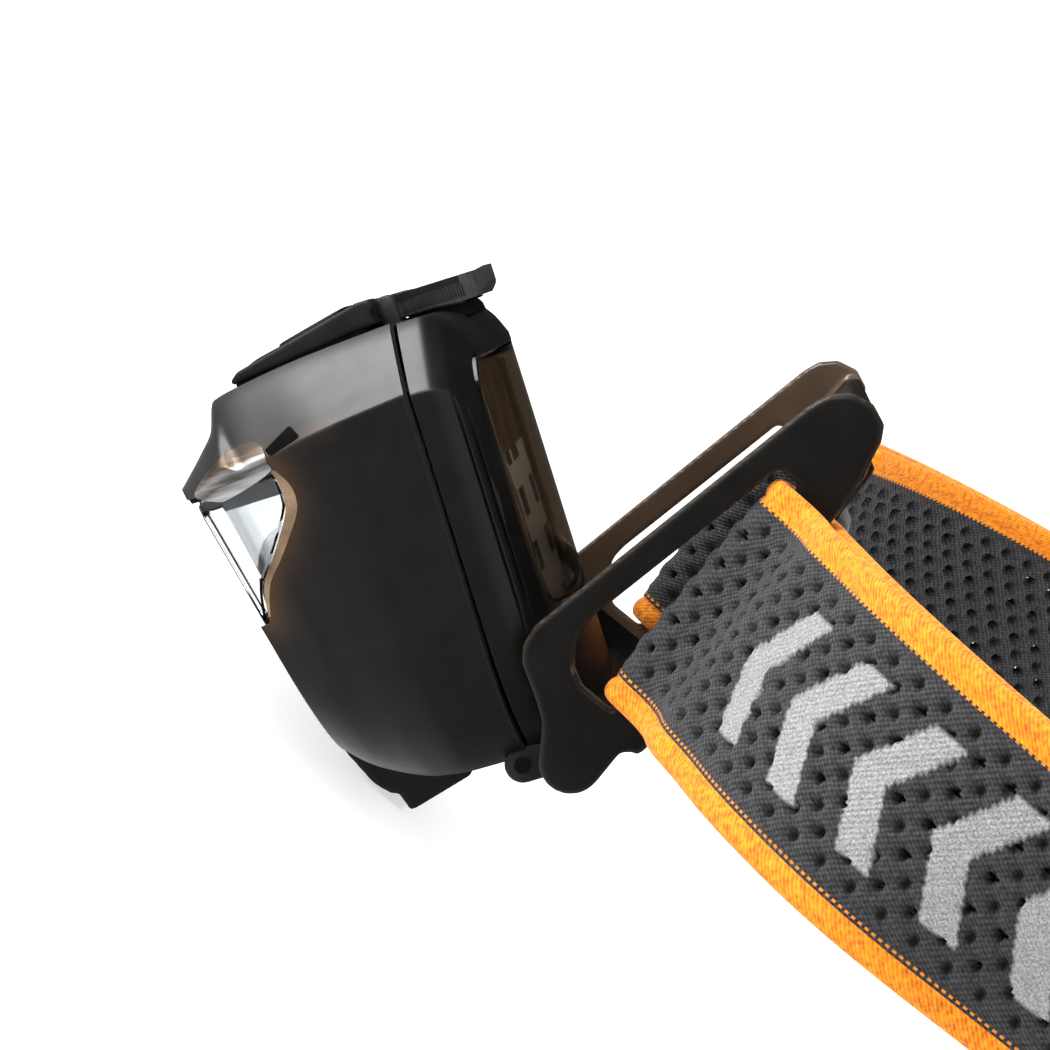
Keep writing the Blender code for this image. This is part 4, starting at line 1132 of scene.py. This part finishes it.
HEAD_HALF, HEAD_CURVE, HEAD_FLAT = 77.0, 82.0, 30.0
INNER_OFF, OUTER_OFF, FOLD_R = 2.6, 6.1, 2.3
FOLD_X, FOLD_Y = 32.35, -6.7
TAIL_END, JOIN_TURN = 122.0, 1.04
LIFT_NEAR, LIFT_FAR, LIFT_REACH = 5.0, 11.2, 50.0
LEAN, LEAN_FROM, LEAN_TO = 13.0, 10.0, 79.0
BAND_HALF, BAND_THIN, EDGE_WIDE, EDGE_THICK = 12.75, 0.62, 2.35, 0.98
LOOP_LONG, LOOP_ROW, FLAT_STEP = 3.3, 1.65, 0.36
PUFF_LONG, PUFF_WIDE, PUFF_HIGH = 1.45, 1.10, 0.46
PIT_LONG, PIT_WIDE, PIT_DEEP, PIT_OPEN = 0.78, 0.56, 0.55, 0.46


def head_point(offset, turn):
    """A point on the oval round the head, so far outside it, turned from the forehead's middle."""
    half, curve = HEAD_HALF + offset, HEAD_CURVE + offset
    centre = HEAD_CURVE if turn <= math.pi / 2 else HEAD_CURVE + HEAD_FLAT
    return half * math.sin(turn), centre - curve * math.cos(turn)


def run_round(offset, end_turn):
    """The strap's run along the oval from where it joins, with the straight part at the ear."""
    turns = [JOIN_TURN + 0.09 * i for i in range(200) if JOIN_TURN + 0.09 * i < end_turn - 0.02] + [end_turn]
    before = [head_point(offset, t) for t in turns if t < math.pi / 2]
    after = [head_point(offset, t) for t in turns if t > math.pi / 2]
    half = HEAD_HALF + offset
    return before + [(half, HEAD_CURVE + step * HEAD_FLAT / 3) for step in range(4)] + after


def bulge(start, slope, offset):
    """The curve that takes the strap from the wing out to the oval."""
    end = head_point(offset, JOIN_TURN)
    along = (HEAD_HALF + offset) * math.cos(JOIN_TURN), (HEAD_CURVE + offset) * math.sin(JOIN_TURN)
    back = 16.0 / math.hypot(*along)
    pulls = (start[0] + 28.0, start[1] + 28.0 * slope), (end[0] - back * along[0], end[1] - back * along[1])
    made = []
    for i in range(1, 12):
        t = i / 12
        shares = (1 - t) ** 3, 3 * t * (1 - t) ** 2, 3 * t * t * (1 - t), t**3
        corners = list(zip(shares, (start, *pulls, end)))
        made.append(tuple(sum(w * p[axis] for w, p in corners) for axis in (0, 1)))
    return made


def band_lift(x, y):
    """How much higher the strap rides than at the left side."""
    if y > HEAD_CURVE + HEAD_FLAT:
        return LIFT_FAR * (0.5 - 0.5 * x / (HEAD_HALF + OUTER_OFF))
    if x > 0:
        return 0.0
    share = min(max((-x - WING_OUT - 1.5 + y + 3.3) / 10.0, 0.0), 1.0)
    along = min(max(y / LIFT_REACH, 0.0), 1.0)
    return LIFT_NEAR * share * share * (3 - 2 * share) + (LIFT_FAR - LIFT_NEAR) * math.sin(along * math.pi / 2)


def band_lean(x, y):
    """How far the left side's lower edge tucks in."""
    if x < 0 or not LEAN_FROM < y < LEAN_TO:
        return 0.0
    return LEAN * math.sin(math.pi * (y - LEAN_FROM) / (LEAN_TO - LEAN_FROM)) ** 2


def band_path():
    """The whole strap's middle line in plan, tail to tail, and where along it each fold and the back lie."""
    inner_start, outer_start = (FOLD_X - FOLD_R, -2.4), (FOLD_X + FOLD_R, -3.7)
    inner_turn = [(30.05, -5.2), (30.25, -3.4), (31.4, -2.15), (33.8, -1.55)]
    outer_turn = [(34.95, -6.75), (36.2, -5.35), (38.6, -4.2), (42.6, -3.25)]
    tail_turn = math.pi / 2 + (TAIL_END - HEAD_CURVE - HEAD_FLAT) / (HEAD_CURVE + INNER_OFF)
    inner = bulge(inner_start, 0.25, INNER_OFF) + run_round(INNER_OFF, tail_turn)
    outer = bulge(outer_start, 0.12, OUTER_OFF) + run_round(OUTER_OFF, math.pi)
    turns = [math.radians(a) for a in range(0, 151, 15)]
    fold = [(FOLD_X - FOLD_R * math.cos(a), FOLD_Y - FOLD_R * math.sin(a)) for a in turns]
    left = inner[::-1] + inner_turn[::-1] + fold + outer_turn + outer[1:]
    return left + [(-x, y) for x, y in left[:-1]][::-1]


def resampled(path):
    """Even small steps along a smooth curve through the path: place, way ahead and distance."""
    fine = curve_through(path, 14, closed=False)
    lengths = [0.0]
    for a, b in zip(fine, fine[1:]):
        lengths.append(lengths[-1] + math.hypot(b[0] - a[0], b[1] - a[1]))
    made = []
    at, k = 0.0, 0
    while at < lengths[-1]:
        while lengths[k + 1] < at:
            k += 1
        share = (at - lengths[k]) / max(lengths[k + 1] - lengths[k], 1e-9)
        x, y = (a + (b - a) * share for a, b in zip(fine[k], fine[k + 1]))
        lo, hi = fine[max(k - 3, 0)], fine[min(k + 4, len(fine) - 1)]
        length = math.hypot(hi[0] - lo[0], hi[1] - lo[1])
        made.append((x, y, (hi[0] - lo[0]) / length, (hi[1] - lo[1]) / length, at))
        near = y < 62.0
        at += LOOP_LONG / (10 if near and x > 0 else 8 if near else 6)
    return made, lengths[-1]


def knit_height(along, across):
    """How proud the knit stands: puffed loops in staggered rows, a pit behind each, and a flat selvedge."""
    fade = min(max((9.7 - abs(across)) / 0.9, 0.0), 1.0)
    if fade == 0.0:
        return 0.0, False
    row = round(across / LOOP_ROW)
    best, hole = 0.0, False
    for near_row in (row - 1, row, row + 1):
        shift = LOOP_LONG / 2 if near_row % 2 else 0.0
        cell = round((along - shift) / LOOP_LONG)
        centre = cell * LOOP_LONG + shift
        away_s, away_v = along - centre, across - near_row * LOOP_ROW
        puff = 1 - (away_s / PUFF_LONG) ** 2 - (away_v / PUFF_WIDE) ** 2
        if puff > 0:
            best = max(best, PUFF_HIGH * math.sqrt(puff))
        for pit_centre in (centre + LOOP_LONG / 2, centre - LOOP_LONG / 2):
            pit = ((along - pit_centre) / PIT_LONG) ** 2 + (away_v / PIT_WIDE) ** 2
            if pit < 1:
                best -= PIT_DEEP * (1 - pit)
                hole = hole or (pit < PIT_OPEN and abs(near_row) % 2 == 0)
    return best * fade, hole and fade == 1.0


PRINT_FROM, PRINT_TO, PRINT_PITCH, PRINT_TALL = 15.0, 96.0, 9.0, 6.6
CHEVRON_LONG, CHEVRON_SLOPE, PRINT_FLAT = 3.7, 0.55, 0.26


def print_mask(along, across):
    """Generic reflective print: a row of plain chevrons."""
    if not PRINT_FROM < along < PRINT_TO or abs(across) > PRINT_TALL:
        return 0.0
    chevron = (along - PRINT_FROM - CHEVRON_SLOPE * abs(across)) % PRINT_PITCH
    return 1.0 if chevron < CHEVRON_LONG else 0.0


def band_section():
    """The strap's cross-section round its two faces and rolled edges, the edge's steps, the face's points."""
    inner = BAND_HALF - EDGE_WIDE
    flat = [-inner + i * FLAT_STEP for i in range(int(2 * inner / FLAT_STEP) + 1)]
    middle, turned = BAND_HALF - EDGE_WIDE / 2 + 0.05, 12

    def rolled(centre, start):
        shares = [(i + 0.5) / (turned + 1) for i in range(turned + 1)]
        turns = [start - 2.0 * math.pi * share * 0.86 - 0.14 * math.pi for share in shares]
        return [(centre + math.cos(a) * EDGE_WIDE / 2, math.sin(a) * EDGE_THICK, "edge") for a in turns]

    ring = [(v, BAND_THIN, "headside") for v in flat] + rolled(middle, math.pi)
    ring += [(v, -BAND_THIN, "outside") for v in reversed(flat)] + rolled(-middle, 0.0)
    return ring, turned, len(flat)


def make_band():
    """The knitted strap: its section swept along the path, raised by the knit and pierced in its pits."""
    steps, total = resampled(band_path())
    left_half = [s for s in steps if s[4] < total / 2]
    at_fold = [s[4] for s in left_half if abs(abs(s[0]) - FOLD_X) < 0.6 and s[1] < FOLD_Y - 1.9]
    left_fold = sum(at_fold) / len(at_fold)
    ring, turned, wide = band_section()
    count = len(ring)
    points, marks, holes = [], [], set()
    for k, (x, y, dx, dy, at) in enumerate(steps):
        side = 1.0 if at < total / 2 else -1.0
        along = (at if side > 0 else total - at) - left_fold
        out_x, out_y = -dy, dx
        lean, lift = band_lean(x, y), band_lift(x, y)
        toward = -1.0 if out_x * x + out_y * (y - HEAD_CURVE) > 0 else 1.0
        tight = 1.0 if y > -3.0 else 0.75
        for m, (v, off, kind) in enumerate(ring):
            drop = (BAND_HALF - v) / (2 * BAND_HALF) * lean
            shown, pit = 0.0, 0.0
            if kind != "edge":
                high, hole = knit_height(along, v)
                printed = print_mask(along, v)
                shown = printed if kind == "outside" else 0.0
                if printed:
                    high, hole = PRINT_FLAT + 0.2 * max(high, 0.0), False
                push = off + (high if off > 0 else -high) * tight
                if hole and kind == "headside":
                    holes.add((k, m))
                if not shown:
                    # Painted shade mask: the lower the knit, the darker, fading out towards its edges.
                    pit = max(min(max(0.10 - high, 0.0) * 3.0, 1.0) * min(9.9 - abs(v), 1.0), 0.0)
            else:
                push = off * tight * (1 + 0.05 * math.sin(along * 7.0))
            shift = push + toward * drop
            points.append((x + out_x * shift, y + out_y * shift, v + lift))
            marks.append((along, v, shown, pit))
    faces, kinds = [], []
    gone = {(k, m) for k, m in holes if m + 1 < wide and k + 1 < len(steps)}

    def is_gone(k, m):
        if m < wide - 1:
            return (k, m) in gone
        first = wide + turned + 1
        if first <= m < first + wide - 1:
            return (k, 2 * wide - 2 + turned + 1 - m) in gone
        return False

    for k in range(len(steps) - 1):
        for m in range(count):
            if is_gone(k, m):
                continue
            n = (m + 1) % count
            faces.append((k * count + m, k * count + n, (k + 1) * count + n, (k + 1) * count + m))
            kinds.append(int("edge" in (ring[m][2], ring[n][2])))
    mirror = 2 * wide - 1 + turned + 1
    for k, m in gone:
        corners = ((k, m), (k, m + 1), (k + 1, m + 1), (k + 1, m))
        nexts = ((k - 1, m), (k, m + 1), (k + 1, m), (k, m - 1))
        for i, beside in enumerate(nexts):
            if beside in gone:
                continue
            (kp, mp), (kq, mq) = corners[i], corners[(i + 1) % 4]
            p, q = kp * count, kq * count
            faces.append((p + mp, q + mq, q + mirror - mq, p + mirror - mp))
            kinds.append(0)
    last = (len(steps) - 1) * count
    faces += [tuple(range(count))[::-1], tuple(range(last, last + count))]
    kinds += [1, 1]
    shape = points, faces, KNIT, "frame", ("headband",), "band_knit", 75.0, (SELVEDGE,), kinds
    band = piece("headband_knit", *shape)
    layer = band.data.uv_layers.new(name="band")
    # print marks the reflective print, pit the painted shade in the knit's hollows.
    for name, column in (("print", 2), ("pit", 3)):
        band.data.attributes.new(name, "FLOAT", "POINT").data.foreach_set("value", [m[column] for m in marks])
    corners = [number for corner in band.data.loops for number in marks[corner.vertex_index][:2]]
    layer.data.foreach_set("uv", corners)


make_band()


# Floor, light and camera


FLOOR_R, CURVE_R, FLOOR_RINGS, CURVE_RINGS, WALL_RINGS = 1.4, 1.1, 10, 12, 4
CAMERA_AT, CAMERA_LENS = (0.35397, -0.02569, 0.03183), 121.8
CAMERA_RIGHT, CAMERA_BACK = (-0.0696, 0.7774, 0.6251), (0.9934, -0.0031, 0.1145)


def sweep():
    """A pale floor that curves up into a wall on every side the camera can see."""
    floor_z = cad_box[0][2] - 0.0004
    points, faces = [], []
    rings, steps = FLOOR_RINGS + CURVE_RINGS + WALL_RINGS, 48
    for i in range(rings + 1):
        past = i - FLOOR_RINGS
        if past <= 0:
            r, z = FLOOR_R / FLOOR_RINGS * i, floor_z
        else:
            turn = math.pi / 2 * min(past / CURVE_RINGS, 1.0)
            r = FLOOR_R + CURVE_R * math.sin(turn)
            z = floor_z + CURVE_R * (1 - math.cos(turn)) + max(0, past - CURVE_RINGS) * 0.5
        for j in range(steps):
            a = 2 * math.pi * j / steps
            points.append((r * math.cos(a), r * math.sin(a), z))
    for i in range(rings):
        faces += ring_quads(i * steps, (i + 1) * steps, steps)
    obj = linked("sweep", mesh_of("sweep", points, faces, 1.0))
    obj.data.polygons.foreach_set("use_smooth", [True] * len(obj.data.polygons))
    white = (1.0, 1.0, 1.0)
    paper = new_material(
        "studio_paper", Roughness=0.9, Specular_IOR_Level=0.1, Emission_Color=white, Emission_Strength=0.6
    )
    g = Graph(paper)
    g.set("Base Color", g.ramp(g.noise(3.0), [(0.3, (0.58, 0.58, 0.58)), (0.7, (0.62, 0.62, 0.62))]))
    obj.data.materials.append(paper)
    obj.visible_glossy = False


def light(name, place, target, size, power, mirrored=True, shining=True):
    """A soft box: mirrored if glossy surfaces see it, shining if it lights matt ones."""
    data = bpy.data.lights.new(name, "AREA")
    data.shape = "RECTANGLE"
    data.size, data.size_y = size
    data.energy = power
    obj = linked(name, data)
    obj.location = place
    aim = Vector(target) - Vector(place)
    obj.rotation_euler = aim.to_track_quat("-Z", "Y").to_euler()
    obj.visible_glossy = mirrored
    obj.visible_diffuse = shining


def add_camera():
    right = Vector(CAMERA_RIGHT).normalized()
    back = Vector(CAMERA_BACK)
    back = (back - right * back.dot(right)).normalized()
    up = back.cross(right)
    data = bpy.data.cameras.new("camera")
    data.lens, data.sensor_width, data.clip_start = CAMERA_LENS, 36.0, 0.01
    obj = linked("camera", data)
    matrix = Matrix((right, up, back)).transposed().to_4x4()
    matrix.translation = CAMERA_AT
    obj.matrix_world = matrix
    bpy.context.scene.camera = obj


def studio_world():
    """An even white sky. Glossy surfaces see a darker room instead: bright ahead of the lamp, dark behind."""
    world = bpy.data.worlds.new("studio")
    world.use_nodes = True
    g = Graph(world)
    sky = g.tree.nodes["Background"]
    sky.inputs["Strength"].default_value = SKY
    way = g.add("ShaderNodeTexCoord").outputs["Generated"]
    along = g.add("ShaderNodeVectorMath", operation="DOT_PRODUCT")
    along.inputs[1].default_value = (0.0, TILT_COS, TILT_SIN)
    g.join(way, along.inputs[0])
    back = along.outputs["Value"]
    room = g.ramp(g.spread(back, 0.0, 1.0, -1.0, 1.0), [(at, (grey,) * 3) for at, grey in ROOM], "EASE")
    near, front = g.spread(g.split(way)[0], 0.0, 1.0, 0.0, 0.3), g.spread(back, 0.0, 1.0, 0.1, -0.2)
    room = g.mix(g.math("MAXIMUM", near, front), (UNLIT,) * 3, room)
    glossy = g.add("ShaderNodeLightPath").outputs["Is Glossy Ray"]
    g.join(g.mix(glossy, (1.0, 1.0, 1.0), room), sky.inputs["Color"])
    bpy.context.scene.world = world


sweep()
add_camera()
studio_world()
bpy.context.scene.view_settings.view_transform = "Standard"
light("front_box", (0.10, -0.80, 0.38), (0.0, -0.01, 0.0), (0.60, 0.42), 11.0)
light("top_box", (0.10, 0.42, 0.66), (0.0, 0.02, 0.0), (0.35, 0.35), 2.5, mirrored=False)
light("crease_strip", (0.58, -0.58, 0.40), (0.0, -0.02, 0.0), (0.70, 0.10), 5.0, shining=False)
